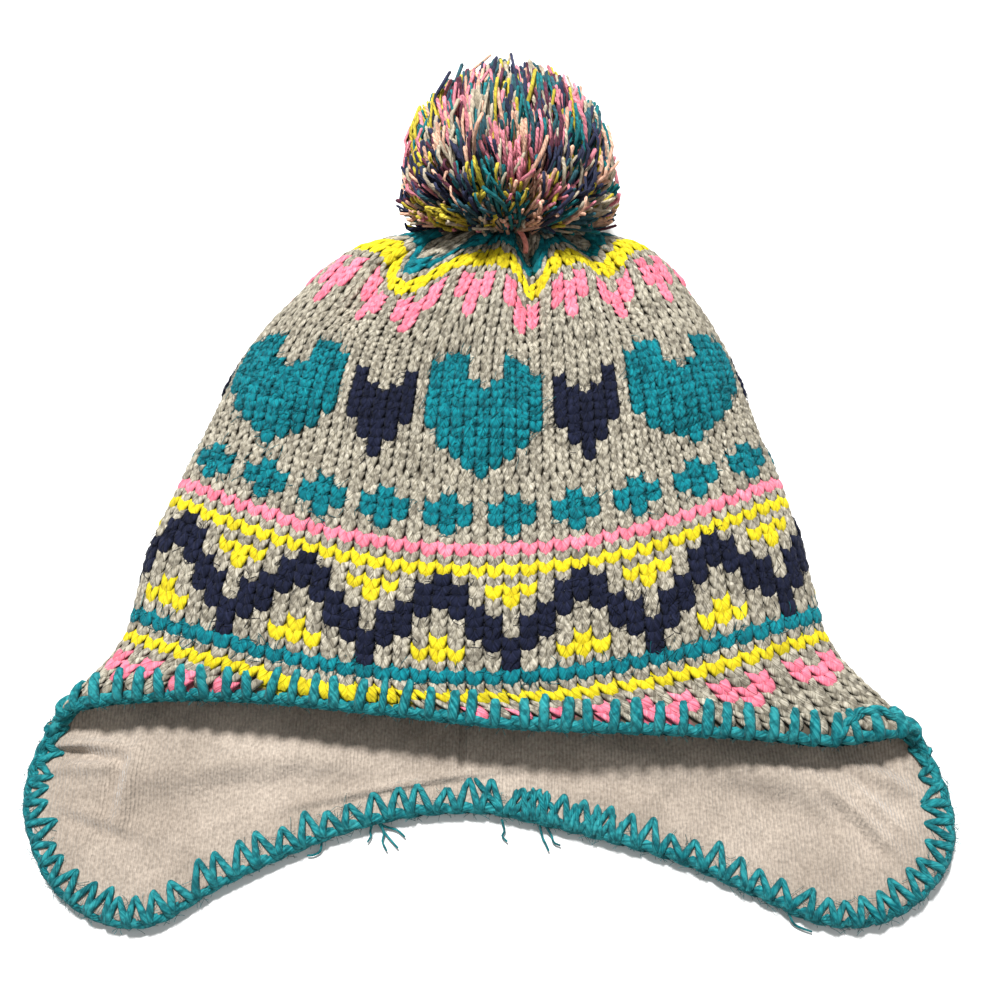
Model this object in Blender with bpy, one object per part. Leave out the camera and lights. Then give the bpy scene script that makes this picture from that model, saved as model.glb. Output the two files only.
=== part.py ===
"""Knitted earflap hat with a pompom, lying flattened on its back on a floor.

Units are metres, +Z is up and the origin is on the floor under the middle of the hat.
+X runs across the hat and +Y runs from the brim to the crown.
The hat is one hollow knitted wall with two ear flaps, a thin lining inside it,
a cord-like stitched edging round its rim, and a pompom tied to the gathered crown.
Every layer follows one lofted surface, which the two tables below describe.
"""
import math
from collections import namedtuple

import bmesh
import bpy
import numpy as np
from mathutils import Matrix, Vector

MM = 0.001

# Sizes of the hat as it lies
CROWN_TIP_Y = 84.0 * MM
FRONT_LENGTH = 157.0 * MM
HALF_WIDTH = 98.0 * MM
LAID_HEIGHT = 30.0 * MM
BACK_EXTRA = 21.0 * MM
FLAP_DROP = 29.5 * MM
FLAP_SPAN = 127.0 * MM

# Walls, edging and clearances
KNIT_WALL = 3.0 * MM
LINING_WALL = 1.0 * MM
GAP = 0.3 * MM
EDGING_WIDTH = 2.8 * MM
EDGING_OVERHANG = 0.15 * MM

# The cloth is squeezed thinner where the rim folds over at the flaps' corners
SQUEEZE = 0.45
SQUEEZE_ANGLE = 95.0
SQUEEZE_HALF_ANGLE = 26.0
SQUEEZE_START = 0.70

# Pompom and its tie
POMPOM_RADIUS = 35.0 * MM
POMPOM_CORE = 17.0 * MM
POMPOM_OFFSET_X = 0.5 * MM
POMPOM_STAND = 23.0 * MM
POMPOM_LEAN = math.radians(26.0)
LOCK_TAPER = 0.80
LOCK_VARIATION = 0.13
TIE_RADIUS = 3.6 * MM
TIE_SEAT = 1.0 * MM

# How finely the lofts are divided
COLUMNS = 80
COLUMN_CROWDING = 0.45
OUTER_ROWS = 19
INNER_ROWS = 11
EDGING_SIDES = 8
INNER_TOP_LEVEL = 0.10
LINING_CAP = 0.010

# Cross-sections from the crown to the brim.
# level: place along the loft, 0 at the tip and 1 at the rim
# centre, width: middle and half width, as shares of HALF_WIDTH
# front, side, back: distance below the crown tip on the upper layer, at the
# side folds and on the lower layer, as shares of FRONT_LENGTH
# top, fold, base: heights of those three places, as shares of LAID_HEIGHT
# arch: how flat the upper layer is, 2 for an ellipse and more for flatter
Section = namedtuple("Section", "level centre width front side back top fold base arch")
SECTIONS = (
    Section(0.00, 0.040, 0.045, 0.010, 0.006, 0.002, 0.78, 0.72, 0.66, 2.0),
    Section(0.06, 0.030, 0.220, 0.030, 0.002, 0.000, 0.97, 0.60, 0.28, 2.2),
    Section(0.14, 0.010, 0.470, 0.115, 0.015, 0.030, 1.00, 0.45, 0.00, 2.6),
    Section(0.26, -0.020, 0.645, 0.235, 0.135, 0.140, 1.00, 0.38, 0.00, 3.2),
    Section(0.38, -0.040, 0.760, 0.335, 0.240, 0.240, 0.96, 0.36, 0.00, 3.6),
    Section(0.54, -0.055, 0.855, 0.565, 0.420, 0.430, 0.88, 0.34, 0.00, 4.0),
    Section(0.66, -0.060, 0.915, 0.700, 0.535, 0.560, 0.84, 0.34, 0.00, 4.2),
    Section(0.74, -0.070, 0.970, 0.825, 0.665, 0.690, 0.78, 0.33, 0.00, 4.2),
    Section(0.82, -0.070, 1.000, 0.930, 0.800, 0.830, 0.72, 0.31, 0.00, 4.2),
)
UNDERSIDE_ARCH = 12.0

# Rim of the hat, round the front brim, the right flap, the back and the left flap.
# angle: place round the hat, 0 at the front middle, 90 at the right fold
# span: x as a share of FLAP_SPAN
# back: 0 on the front brim's line and 1 on the back brim's line
# drop: how far the flap hangs past it, as a share of FLAP_DROP
# lift: height as a share of LAID_HEIGHT
# facing: way that the inside looks, 0 for down and 180 for up
Rim = namedtuple("Rim", "angle span back drop lift facing")
RIM = (
    Rim(0, 0.020, 0.00, 0.02, 0.69, 0),
    Rim(30, 0.290, 0.06, 0.02, 0.67, 0),
    Rim(55, 0.540, 0.14, 0.00, 0.58, 0),
    Rim(72, 0.715, 0.20, 0.00, 0.50, 5),
    Rim(82, 0.815, 0.12, 0.00, 0.47, 22),
    Rim(90, 0.895, 0.08, 0.00, 0.34, 70),
    Rim(97, 0.946, 0.36, 0.00, 0.15, 130),
    Rim(104, 0.972, 0.92, 0.00, 0.05, 160),
    Rim(111, 0.955, 1.00, 0.34, 0.04, 172),
    Rim(118, 0.892, 1.00, 0.68, 0.03, 175),
    Rim(125, 0.795, 1.00, 0.92, 0.00, 180),
    Rim(133, 0.675, 1.00, 0.95, 0.00, 180),
    Rim(142, 0.535, 1.00, 0.71, 0.00, 180),
    Rim(152, 0.378, 1.00, 0.42, 0.00, 180),
    Rim(163, 0.205, 1.00, 0.21, 0.00, 180),
    Rim(172, 0.080, 1.00, 0.08, 0.00, 180),
    Rim(180, -0.030, 1.00, -0.01, 0.00, 180),
    Rim(188, -0.155, 1.00, 0.00, 0.00, 180),
    Rim(197, -0.283, 1.00, 0.10, 0.00, 180),
    Rim(208, -0.440, 1.00, 0.34, 0.00, 180),
    Rim(218, -0.590, 1.00, 0.64, 0.00, 180),
    Rim(227, -0.730, 1.00, 0.96, 0.00, 180),
    Rim(235, -0.850, 1.00, 0.88, 0.00, 180),
    Rim(242, -0.945, 1.00, 0.58, 0.03, 175),
    Rim(249, -1.008, 1.00, 0.13, 0.04, 172),
    Rim(256, -1.028, 0.69, 0.00, 0.05, 160),
    Rim(263, -1.010, 0.15, 0.00, 0.15, 130),
    Rim(270, -0.955, -0.20, 0.00, 0.34, 70),
    Rim(278, -0.878, -0.30, 0.00, 0.48, 22),
    Rim(290, -0.755, -0.36, 0.00, 0.54, 5),
    Rim(308, -0.565, -0.34, 0.00, 0.62, 0),
    Rim(331, -0.300, -0.18, 0.00, 0.68, 0),
)

# Gathers of the crown, pressed into the outside of the knitted wall.
# angle: place round the hat, turn: how far it veers by its end, in degrees
# half_angle: its half width in degrees, start and end: levels
# depth: as a share of KNIT_WALL
Gather = namedtuple("Gather", "angle turn half_angle start end depth")
GATHERS = (
    Gather(-46, -10, 13, 0.03, 0.34, 0.80),
    Gather(-14, 4, 12, 0.02, 0.24, 0.60),
    Gather(10, 4, 12, 0.02, 0.36, 0.85),
    Gather(46, 4, 13, 0.03, 0.34, 0.75),
    Gather(88, 0, 12, 0.02, 0.20, 0.55),
    Gather(128, 0, 12, 0.02, 0.20, 0.55),
    Gather(180, 0, 12, 0.02, 0.20, 0.55),
    Gather(232, 0, 12, 0.02, 0.20, 0.55),
    Gather(272, 0, 12, 0.02, 0.20, 0.55),
)

# Soft dents and swells that all layers share.
# angle, level: its middle, half_angle, half_level: how far it reaches
# lift: its height as a share of LAID_HEIGHT, less than 0 for a dent
Dent = namedtuple("Dent", "angle level half_angle half_level lift")
DENTS = (
    Dent(-30, 0.50, 26, 0.22, 0.035),
    Dent(34, 0.56, 24, 0.20, -0.040),
    Dent(-62, 0.86, 18, 0.16, 0.050),
    Dent(4, 0.90, 26, 0.14, -0.030),
    Dent(66, 0.84, 16, 0.16, 0.040),
)

# Length of the pompom's locks by their angle from the tied pole.
# angle: degrees from the pole, reach: share of the way from core to full radius
Reach = namedtuple("Reach", "angle reach")
LOCK_REACH = (
    Reach(0, 0.00),
    Reach(16, 0.00),
    Reach(24, 0.25),
    Reach(38, 0.66),
    Reach(54, 0.92),
    Reach(75, 1.00),
    Reach(180, 1.00),
)

# Colours: red, green, blue and roughness
Finish = namedtuple("Finish", "red green blue roughness")
KNIT_FINISH = Finish(0.46, 0.42, 0.37, 0.88)
LINING_FINISH = Finish(0.50, 0.42, 0.36, 0.95)
EDGING_FINISH = Finish(0.02, 0.27, 0.30, 0.85)
POMPOM_FINISH = Finish(0.26, 0.30, 0.28, 0.90)
TIE_FINISH = Finish(0.62, 0.22, 0.20, 0.88)


def clear_scene():
    """Remove every object of the scene."""
    for thing in list(bpy.data.objects):
        bpy.data.objects.remove(thing, do_unlink=True)


def make_material(name, finish):
    """Return a plain cloth material."""
    material = bpy.data.materials.new(name)
    material.use_nodes = True
    shader = material.node_tree.nodes["Principled BSDF"]
    shader.inputs["Base Color"].default_value = (finish.red, finish.green, finish.blue, 1.0)
    shader.inputs["Roughness"].default_value = finish.roughness
    shader.inputs["Metallic"].default_value = 0.0
    material.diffuse_color = (finish.red, finish.green, finish.blue, 1.0)
    return material


def through_rows(places, values, at):
    """Smooth curve through a table's rows."""
    places = np.asarray(places, float)
    values = np.asarray(values, float)
    slopes = np.gradient(values, places)
    row = np.clip(np.searchsorted(places, at, side="right") - 1, 0, len(places) - 2)
    width = places[row + 1] - places[row]
    t = (at - places[row]) / width
    return (
        values[row] * (2 * t**3 - 3 * t**2 + 1)
        + values[row + 1] * (3 * t**2 - 2 * t**3)
        + width * slopes[row] * (t**3 - 2 * t**2 + t)
        + width * slopes[row + 1] * (t**3 - t**2)
    )


def section_at(level):
    """Return the cross-section row for any level within the table."""
    levels = [row.level for row in SECTIONS]
    columns = zip(*[row[1:] for row in SECTIONS])
    return Section(level, *[float(through_rows(levels, column, level)) for column in columns])


def section_outline(level, steps=180):
    """Points round one cross-section, from the back middle by the left fold."""
    row = section_at(level)
    even = np.linspace(0.0, 1.0, steps + 1)
    out = 1.0 - (1.0 - even) ** 2
    over = np.sqrt(np.maximum(0.0, 1.0 - out**row.arch))
    under = np.minimum(1.0, 1.02 * np.sqrt(np.maximum(0.0, 1.0 - out**UNDERSIDE_ARCH)))
    top = row.fold + (row.top - row.fold) * over
    bottom = row.fold - (row.fold - row.base) * under
    upper = row.side + (row.front - row.side) * (1.0 - out**2)
    lower = row.side + (row.back - row.side) * (1.0 - out**2)
    share = np.concatenate([-out, -out[-2::-1], out[1:], out[-2::-1]])
    down = np.concatenate([lower, upper[-2::-1], upper[1:], lower[-2::-1]])
    height = np.concatenate([bottom, top[-2::-1], top[1:], bottom[-2::-1]])
    x = HALF_WIDTH * (row.centre + row.width * share)
    y = CROWN_TIP_Y - FRONT_LENGTH * down
    return np.stack([x, y, LAID_HEIGHT * height], axis=1)


def section_points(level, angles):
    """Points of one cross-section at equal lengths of knitting round each side."""
    outline = section_outline(level)
    steps = np.linalg.norm(np.diff(outline, axis=0), axis=1)
    length = np.concatenate([[0.0], np.cumsum(steps)])
    middle = length[len(outline) // 2]
    turned = (np.asarray(angles, float) + 180.0) % 360.0 - 180.0
    left = middle + turned / 180.0 * middle
    right = middle + turned / 180.0 * (length[-1] - middle)
    target = np.where(turned < 0.0, left, right)
    return np.stack([np.interp(target, length, outline[:, axis]) for axis in range(3)], axis=1)


def rim_column(name, angles):
    """One column of the rim table, read smoothly at any angle."""
    before = [row._replace(angle=row.angle - 360) for row in RIM[-3:]]
    after = [row._replace(angle=row.angle + 360) for row in RIM[:3]]
    rows = before + list(RIM) + after
    places = [row.angle for row in rows]
    return through_rows(places, [getattr(row, name) for row in rows], angles % 360.0)


def rim_line(angles):
    """Points of the rim's outermost line."""
    back = rim_column("back", angles)
    drop = rim_column("drop", angles)
    x = FLAP_SPAN * rim_column("span", angles)
    y = CROWN_TIP_Y - FRONT_LENGTH - BACK_EXTRA * back - FLAP_DROP * drop
    z = LAID_HEIGHT * rim_column("lift", angles)
    return np.stack([x, y, np.maximum(z, 0.0)], axis=1)


def unit(vectors):
    """Scale each vector to a length of 1."""
    return vectors / np.linalg.norm(vectors, axis=1, keepdims=True)


def rim_frame(angles):
    """Inward normal, and the way out of the hat along the wall, all round the rim."""
    angles = np.asarray(angles, float)
    along = unit(rim_line(angles + 1.0) - rim_line(angles - 1.0))
    facing = np.radians(rim_column("facing", angles))
    side = np.where(((angles + 180.0) % 360.0 - 180.0) < 0.0, 1.0, -1.0)
    inward = np.stack([side * np.sin(facing), 0.0 * facing, -np.cos(facing)], axis=1)
    inward = unit(inward - along * np.sum(inward * along, axis=1, keepdims=True))
    return inward, np.cross(along, inward) * -1.0


def rim_points(angles, inset):
    """Points a little short of the rim's outermost line."""
    angles = np.asarray(angles, float)
    return rim_line(angles) - rim_frame(angles)[1] * inset


def soft_bump(distance):
    """Return 1 at 0, falling smoothly to 0 at 1."""
    near = np.clip(1.0 - np.abs(distance), 0.0, 1.0)
    return near * near * (3.0 - 2.0 * near)


def base_surface(angles, level, inset=0.0):
    """Points of the hat's outer surface before its gathers, ending short of the rim."""
    last = SECTIONS[-1].level
    angles = np.asarray(angles, float)
    if level <= last:
        points = section_points(level, angles)
    else:
        start = section_points(last, angles)
        heading = unit(start - section_points(last - 0.03, angles))
        chord = rim_points(angles, inset) - start
        heading = heading * np.linalg.norm(chord, axis=1, keepdims=True)
        t = (level - last) / (1.0 - last)
        points = (
            start
            + chord * (3 * t**2 - 2 * t**3)
            + heading * (t**3 - 2 * t**2 + t)
            + chord * (t**3 - t**2)
        )
    turned = (angles + 180.0) % 360.0 - 180.0
    for dent in DENTS:
        reach = soft_bump((turned - dent.angle) / dent.half_angle)
        reach = reach * soft_bump((level - dent.level) / dent.half_level)
        points[:, 2] += LAID_HEIGHT * dent.lift * reach
    points[:, 2] = np.maximum(points[:, 2], 0.0)
    return points


def section_normals(angles, level):
    """Unit normals of the surface at a cross-section, pointing into the hat."""
    step = 0.01
    across = section_points(level, angles + 0.6) - section_points(level, angles - 0.6)
    lower = max(level, step)
    along = section_points(lower, angles) - section_points(lower - step, angles)
    return unit(np.cross(across, along))


def inward_normals(angles, level):
    """Unit normals that the layers are stacked along, at any level."""
    last = SECTIONS[-1].level
    if level <= last:
        return section_normals(angles, level)
    t = (level - last) / (1.0 - last)
    blend = t * t * (3.0 - 2.0 * t)
    start = section_normals(angles, last)
    return unit(start * (1.0 - blend) + rim_frame(angles)[0] * blend)


def gathered_depth(angles, level):
    """How far the gathers press the outside in."""
    turned = (np.asarray(angles, float) + 180.0) % 360.0 - 180.0
    depth = np.zeros(len(turned))
    for gather in GATHERS:
        along = (level - gather.start) / (gather.end - gather.start)
        if not 0.0 < along < 1.0:
            continue
        middle = gather.angle + gather.turn * along
        away = (turned - middle + 180.0) % 360.0 - 180.0
        fade = math.sin(math.pi * along) ** 0.6
        depth += KNIT_WALL * gather.depth * fade * soft_bump(away / gather.half_angle)
    return depth


def squeezed(angles, level):
    """Share of its full thickness that the cloth keeps."""
    turned = np.abs((np.asarray(angles, float) + 180.0) % 360.0 - 180.0)
    near = soft_bump((turned - SQUEEZE_ANGLE) / SQUEEZE_HALF_ANGLE)
    reach = min(1.0, max(0.0, (level - SQUEEZE_START) / (0.9 - SQUEEZE_START)))
    return 1.0 - SQUEEZE * near * reach


def layer_rings(angles, levels, cloth, gaps, gathered=False):
    """Rings of points below a thickness of cloth and a number of gaps."""
    rings = []
    for level in levels:
        points = base_surface(angles, level, EDGING_WIDTH + GAP)
        moved = cloth * squeezed(angles, level) + gaps * GAP
        if gathered:
            pressed = gathered_depth(angles, level)
            moved = moved + np.where(points[:, 2] < GAP, 0.0, pressed)
        rings.append(points + inward_normals(angles, level) * moved[:, None])
    return rings


def column_angles():
    """Angles of the loft's columns, crowded towards the side folds."""
    even = np.arange(COLUMNS) * 2.0 * math.pi / COLUMNS
    return np.degrees(even + COLUMN_CROWDING * np.sin(2.0 * even) / 2.0)


def loft_levels(first, rows):
    """Levels of a loft's rows, closer together at the crown."""
    share = np.linspace(0.0, 1.0, rows)
    return first + (1.0 - first) * (0.30 * share**2 + 0.70 * share)


def add_rings(mesh, rings):
    """Add rings of vertices and return them."""
    return [[mesh.verts.new(tuple(point)) for point in ring] for ring in rings]


def bridge(mesh, first, second):
    """Join two rings with a band of faces."""
    count = len(first)
    for index in range(count):
        after = (index + 1) % count
        mesh.faces.new((first[index], first[after], second[after], second[index]))


def cap(mesh, ring, height):
    """Close a ring with a shallow fan."""
    middle = sum((vertex.co for vertex in ring), Vector()) / len(ring)
    peak = mesh.verts.new(middle + Vector((0.0, height, 0.0)))
    for index in range(len(ring)):
        mesh.faces.new((ring[index], peak, ring[(index + 1) % len(ring)]))


def finish_object(name, mesh, material, smooth_angle=50.0):
    """Turn a bmesh into a shaded object whose faces point out."""
    bmesh.ops.triangulate(mesh, faces=mesh.faces[:], quad_method="FIXED")
    bmesh.ops.recalc_face_normals(mesh, faces=mesh.faces[:])
    data = bpy.data.meshes.new(name)
    mesh.to_mesh(data)
    mesh.free()
    data.shade_smooth()
    data.set_sharp_from_angle(angle=math.radians(smooth_angle))
    data.materials.append(material)
    thing = bpy.data.objects.new(name, data)
    bpy.context.scene.collection.objects.link(thing)
    return thing


def build_wall(name, outer_rings, inner_rings, material):
    """Build a hollow wall between two sets of rings, open at the rim."""
    mesh = bmesh.new()
    outer = add_rings(mesh, outer_rings)
    inner = add_rings(mesh, inner_rings)
    for rings in (outer, inner):
        for first, second in zip(rings, rings[1:]):
            bridge(mesh, first, second)
        cap(mesh, rings[0], 0.0)
    bridge(mesh, outer[-1], inner[-1])
    return finish_object(name, mesh, material)


def build_edging(angles, material):
    """Build the stitched edging as a flat cord that wraps the rim."""
    kept = squeezed(angles, 1.0)[:, None]
    thickness = (KNIT_WALL + LINING_WALL) * kept + GAP + 2.0 * EDGING_OVERHANG
    inward, outward = rim_frame(angles)
    spine = rim_points(angles, EDGING_WIDTH / 2.0)
    spine = spine + inward * (thickness / 2.0 - EDGING_OVERHANG)
    mesh = bmesh.new()
    rings = []
    for side in range(EDGING_SIDES):
        turn = 2.0 * math.pi * (side + 0.5) / EDGING_SIDES
        along = outward * (math.cos(turn) * EDGING_WIDTH / 2.0)
        across = inward * (math.sin(turn) * thickness / 2.0)
        ring = spine + along + across
        ring[:, 2] = np.maximum(ring[:, 2], 0.0)
        rings.append(ring)
    loops = add_rings(mesh, rings)
    for side in range(EDGING_SIDES):
        bridge(mesh, loops[side], loops[(side + 1) % EDGING_SIDES])
    return finish_object("edging", mesh, material, 80.0)


def crown_tip():
    """Middle of the crown's closed tip."""
    return Vector(np.mean(section_points(0.0, np.arange(0.0, 360.0, 10.0)), axis=0))


def crown_top_y():
    """Farthest reach of the crown along +Y."""
    angles = np.arange(0.0, 360.0, 10.0)
    return max(section_points(level, angles)[:, 1].max() for level in (0.0, 0.03, 0.06, 0.1))


def tied_axis():
    """Direction from the crown's tip to the pompom's middle."""
    return Vector((0.0, math.cos(POMPOM_LEAN), math.sin(POMPOM_LEAN)))


def pompom_middle():
    """Middle of the pompom, past the crown's tip along the tied axis."""
    return crown_tip() + tied_axis() * POMPOM_STAND + Vector((POMPOM_OFFSET_X, 0.0, 0.0))


def build_pompom(material):
    """Build the pompom as tapered locks pulled out of a round core."""
    middle = pompom_middle()
    pole = -tied_axis()
    mesh = bmesh.new()
    bmesh.ops.create_icosphere(mesh, subdivisions=3, radius=POMPOM_CORE)
    centres = [face.calc_center_median() for face in mesh.faces]
    result = bmesh.ops.extrude_discrete_faces(mesh, faces=mesh.faces[:])
    rows = [row.angle for row in LOCK_REACH]
    reaches = [row.reach for row in LOCK_REACH]
    for index, (face, centre) in enumerate(zip(result["faces"], centres)):
        from_pole = math.degrees(centre.angle(pole))
        reach = float(np.interp(from_pole, rows, reaches))
        uneven = abs(math.sin(12.9898 * (index + 1))) * LOCK_VARIATION
        radius = POMPOM_CORE + (POMPOM_RADIUS - POMPOM_CORE) * reach * (1.0 - uneven)
        grown = radius / POMPOM_CORE
        for vertex in face.verts:
            spread = (vertex.co - centre) * (grown * LOCK_TAPER)
            vertex.co = centre * grown + spread
    floor_of_crown = crown_top_y() + GAP
    top_of_crown = LAID_HEIGHT + GAP
    for vertex in mesh.verts:
        vertex.co += middle
        vertex.co.z = max(vertex.co.z, 0.0)
        if vertex.co.z < top_of_crown:
            vertex.co.y = max(vertex.co.y, floor_of_crown)
    return finish_object("pompom", mesh, material, 30.0)


def build_tie(material):
    """Build the knot of yarn between the crown's tip and the pompom's core."""
    axis = tied_axis()
    near = TIE_SEAT + GAP
    far = POMPOM_STAND - POMPOM_CORE - GAP
    middle = crown_tip() + axis * (near + far) / 2.0
    turn = axis.to_track_quat("Z", "Y").to_matrix().to_4x4()
    mesh = bmesh.new()
    bmesh.ops.create_cone(
        mesh,
        cap_ends=True,
        segments=20,
        radius1=TIE_RADIUS,
        radius2=TIE_RADIUS,
        depth=far - near,
        matrix=Matrix.Translation(middle) @ turn,
    )
    return finish_object("pompom_tie", mesh, material, 50.0)


def main():
    """Build the whole hat."""
    clear_scene()
    angles = column_angles()
    knit = make_material("knit_wool", KNIT_FINISH)
    fleece = make_material("lining_jersey", LINING_FINISH)
    teal = make_material("edging_wool", EDGING_FINISH)
    mixed = make_material("pompom_wool", POMPOM_FINISH)
    knot = make_material("tie_wool", TIE_FINISH)
    inner_levels = loft_levels(INNER_TOP_LEVEL, INNER_ROWS)
    lining_levels = inner_levels[1:]
    lining_inner_levels = np.concatenate([[inner_levels[1] + LINING_CAP], inner_levels[2:]])
    outside = layer_rings(angles, loft_levels(0.0, OUTER_ROWS), 0.0, 0, True)
    inside = layer_rings(angles, inner_levels, KNIT_WALL, 0)
    build_wall("knit_shell", outside, inside, knit)
    lining_outside = layer_rings(angles, lining_levels, KNIT_WALL, 1)
    lining_inside = layer_rings(angles, lining_inner_levels, KNIT_WALL + LINING_WALL, 1)
    build_wall("lining", lining_outside, lining_inside, fleece)
    build_edging(angles, teal)
    build_pompom(mixed)
    build_tie(knot)


main()
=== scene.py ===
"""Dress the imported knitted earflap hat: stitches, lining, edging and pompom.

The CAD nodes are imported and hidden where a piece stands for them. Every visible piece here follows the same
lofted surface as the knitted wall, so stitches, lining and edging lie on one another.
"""
import logging
import math
from collections import namedtuple
from dataclasses import dataclass
from enum import Enum
from typing import Callable, Optional, Sequence

import bpy
import numpy as np
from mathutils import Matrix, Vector
from mathutils.bvhtree import BVHTree
from mathutils.kdtree import KDTree


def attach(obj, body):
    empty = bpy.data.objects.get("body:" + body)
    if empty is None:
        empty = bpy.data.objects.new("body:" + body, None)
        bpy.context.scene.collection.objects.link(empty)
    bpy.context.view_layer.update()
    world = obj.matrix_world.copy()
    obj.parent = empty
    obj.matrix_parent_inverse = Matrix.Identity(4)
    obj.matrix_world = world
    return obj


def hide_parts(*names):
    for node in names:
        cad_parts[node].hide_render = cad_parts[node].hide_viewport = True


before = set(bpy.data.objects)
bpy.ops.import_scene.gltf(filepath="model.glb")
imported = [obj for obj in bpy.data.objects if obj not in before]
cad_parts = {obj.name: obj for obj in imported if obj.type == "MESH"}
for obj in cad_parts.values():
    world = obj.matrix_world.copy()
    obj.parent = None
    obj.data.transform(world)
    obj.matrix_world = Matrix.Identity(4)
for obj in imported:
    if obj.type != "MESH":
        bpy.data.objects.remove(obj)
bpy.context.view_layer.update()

logging.basicConfig(level=logging.INFO, format="%(message)s")
LOG = logging.getLogger("hat")

MM = 0.001
BODY = "root"


@dataclass(frozen=True)
class HatSizes:
    """Sizes of the hat as it lies, in metres."""

    crown_tip_y: float = 84.0 * MM
    front_length: float = 157.0 * MM
    half_width: float = 98.0 * MM
    laid_height: float = 30.0 * MM
    back_extra: float = 21.0 * MM
    flap_drop: float = 29.5 * MM
    flap_span: float = 127.0 * MM
    knit_wall: float = 3.0 * MM
    lining_wall: float = 1.0 * MM
    gap: float = 0.3 * MM
    edging_width: float = 2.8 * MM
    overhang: float = 0.15 * MM
    squeeze: float = 0.45
    squeeze_angle: float = 95.0
    squeeze_half_angle: float = 26.0
    squeeze_start: float = 0.70
    tucked: float = 1.5 * MM
    fullness: float = 1.1 * MM


@dataclass(frozen=True)
class PompomSizes:
    """Sizes of the pompom and its tie, in metres."""

    radius: float = 35.0 * MM
    core: float = 17.0 * MM
    stand: float = 23.0 * MM
    offset_x: float = 0.5 * MM
    lean: float = math.radians(26.0)
    reach: float = 32.3 * MM
    shift: tuple = (-1.6 * MM, -2.6 * MM, -0.6 * MM)
    root: float = 0.62
    bulge: float = 0.20
    strands: int = 5200
    strand_radius: float = 0.56 * MM
    tufts: int = 420


@dataclass(frozen=True)
class StitchSizes:
    """Sizes of one knitted stitch, in metres."""

    pitch: float = 2.93 * MM
    half_leg: float = 0.214
    leg_height: float = 0.78 * MM
    sink: float = 0.35 * MM


Section = namedtuple("Section", "level centre width front side back top fold base arch")
SECTIONS = (
    Section(0.00, 0.040, 0.045, 0.010, 0.006, 0.002, 0.78, 0.72, 0.66, 2.0),
    Section(0.06, 0.030, 0.220, 0.030, 0.002, 0.000, 0.97, 0.60, 0.28, 2.2),
    Section(0.14, 0.010, 0.470, 0.115, 0.015, 0.030, 1.00, 0.45, 0.00, 2.6),
    Section(0.26, -0.020, 0.645, 0.235, 0.135, 0.140, 1.00, 0.38, 0.00, 3.2),
    Section(0.38, -0.040, 0.760, 0.335, 0.240, 0.240, 0.96, 0.36, 0.00, 3.6),
    Section(0.54, -0.055, 0.855, 0.565, 0.420, 0.430, 0.88, 0.34, 0.00, 4.0),
    Section(0.66, -0.060, 0.915, 0.700, 0.535, 0.560, 0.84, 0.34, 0.00, 4.2),
    Section(0.74, -0.070, 0.970, 0.825, 0.665, 0.690, 0.78, 0.33, 0.00, 4.2),
    Section(0.82, -0.070, 1.000, 0.930, 0.800, 0.830, 0.72, 0.31, 0.00, 4.2),
)
UNDERSIDE_ARCH = 12.0

Rim = namedtuple("Rim", "angle span back drop lift facing")
RIM = (
    Rim(0, 0.020, 0.00, 0.02, 0.69, 0),
    Rim(30, 0.290, 0.06, 0.02, 0.67, 0),
    Rim(55, 0.540, 0.14, 0.00, 0.58, 0),
    Rim(72, 0.715, 0.20, 0.00, 0.50, 5),
    Rim(82, 0.815, 0.12, 0.00, 0.47, 22),
    Rim(90, 0.895, 0.08, 0.00, 0.34, 70),
    Rim(97, 0.946, 0.36, 0.00, 0.15, 130),
    Rim(104, 0.972, 0.92, 0.00, 0.05, 160),
    Rim(111, 0.955, 1.00, 0.34, 0.04, 172),
    Rim(118, 0.892, 1.00, 0.68, 0.03, 175),
    Rim(125, 0.795, 1.00, 0.92, 0.00, 180),
    Rim(133, 0.675, 1.00, 0.95, 0.00, 180),
    Rim(142, 0.535, 1.00, 0.71, 0.00, 180),
    Rim(152, 0.378, 1.00, 0.42, 0.00, 180),
    Rim(163, 0.205, 1.00, 0.21, 0.00, 180),
    Rim(172, 0.080, 1.00, 0.08, 0.00, 180),
    Rim(180, -0.030, 1.00, -0.01, 0.00, 180),
    Rim(188, -0.155, 1.00, 0.00, 0.00, 180),
    Rim(197, -0.283, 1.00, 0.10, 0.00, 180),
    Rim(208, -0.440, 1.00, 0.34, 0.00, 180),
    Rim(218, -0.590, 1.00, 0.64, 0.00, 180),
    Rim(227, -0.730, 1.00, 0.96, 0.00, 180),
    Rim(235, -0.850, 1.00, 0.88, 0.00, 180),
    Rim(242, -0.945, 1.00, 0.58, 0.03, 175),
    Rim(249, -1.008, 1.00, 0.13, 0.04, 172),
    Rim(256, -1.028, 0.69, 0.00, 0.05, 160),
    Rim(263, -1.010, 0.15, 0.00, 0.15, 130),
    Rim(270, -0.955, -0.20, 0.00, 0.34, 70),
    Rim(278, -0.878, -0.30, 0.00, 0.48, 22),
    Rim(290, -0.755, -0.36, 0.00, 0.54, 5),
    Rim(308, -0.565, -0.34, 0.00, 0.62, 0),
    Rim(331, -0.300, -0.18, 0.00, 0.68, 0),
)

Gather = namedtuple("Gather", "angle turn half_angle start end depth")
GATHERS = (
    Gather(-46, -10, 13, 0.03, 0.34, 1.00),
    Gather(-14, 4, 10, 0.02, 0.22, 0.55),
    Gather(11, 4, 10, 0.02, 0.36, 1.15),
    Gather(46, 4, 12, 0.03, 0.34, 1.00),
    Gather(88, 0, 12, 0.02, 0.20, 0.70),
    Gather(128, 0, 12, 0.02, 0.20, 0.55),
    Gather(180, 0, 12, 0.02, 0.20, 0.55),
    Gather(232, 0, 12, 0.02, 0.20, 0.55),
    Gather(272, 0, 12, 0.02, 0.20, 0.70),
)

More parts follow.
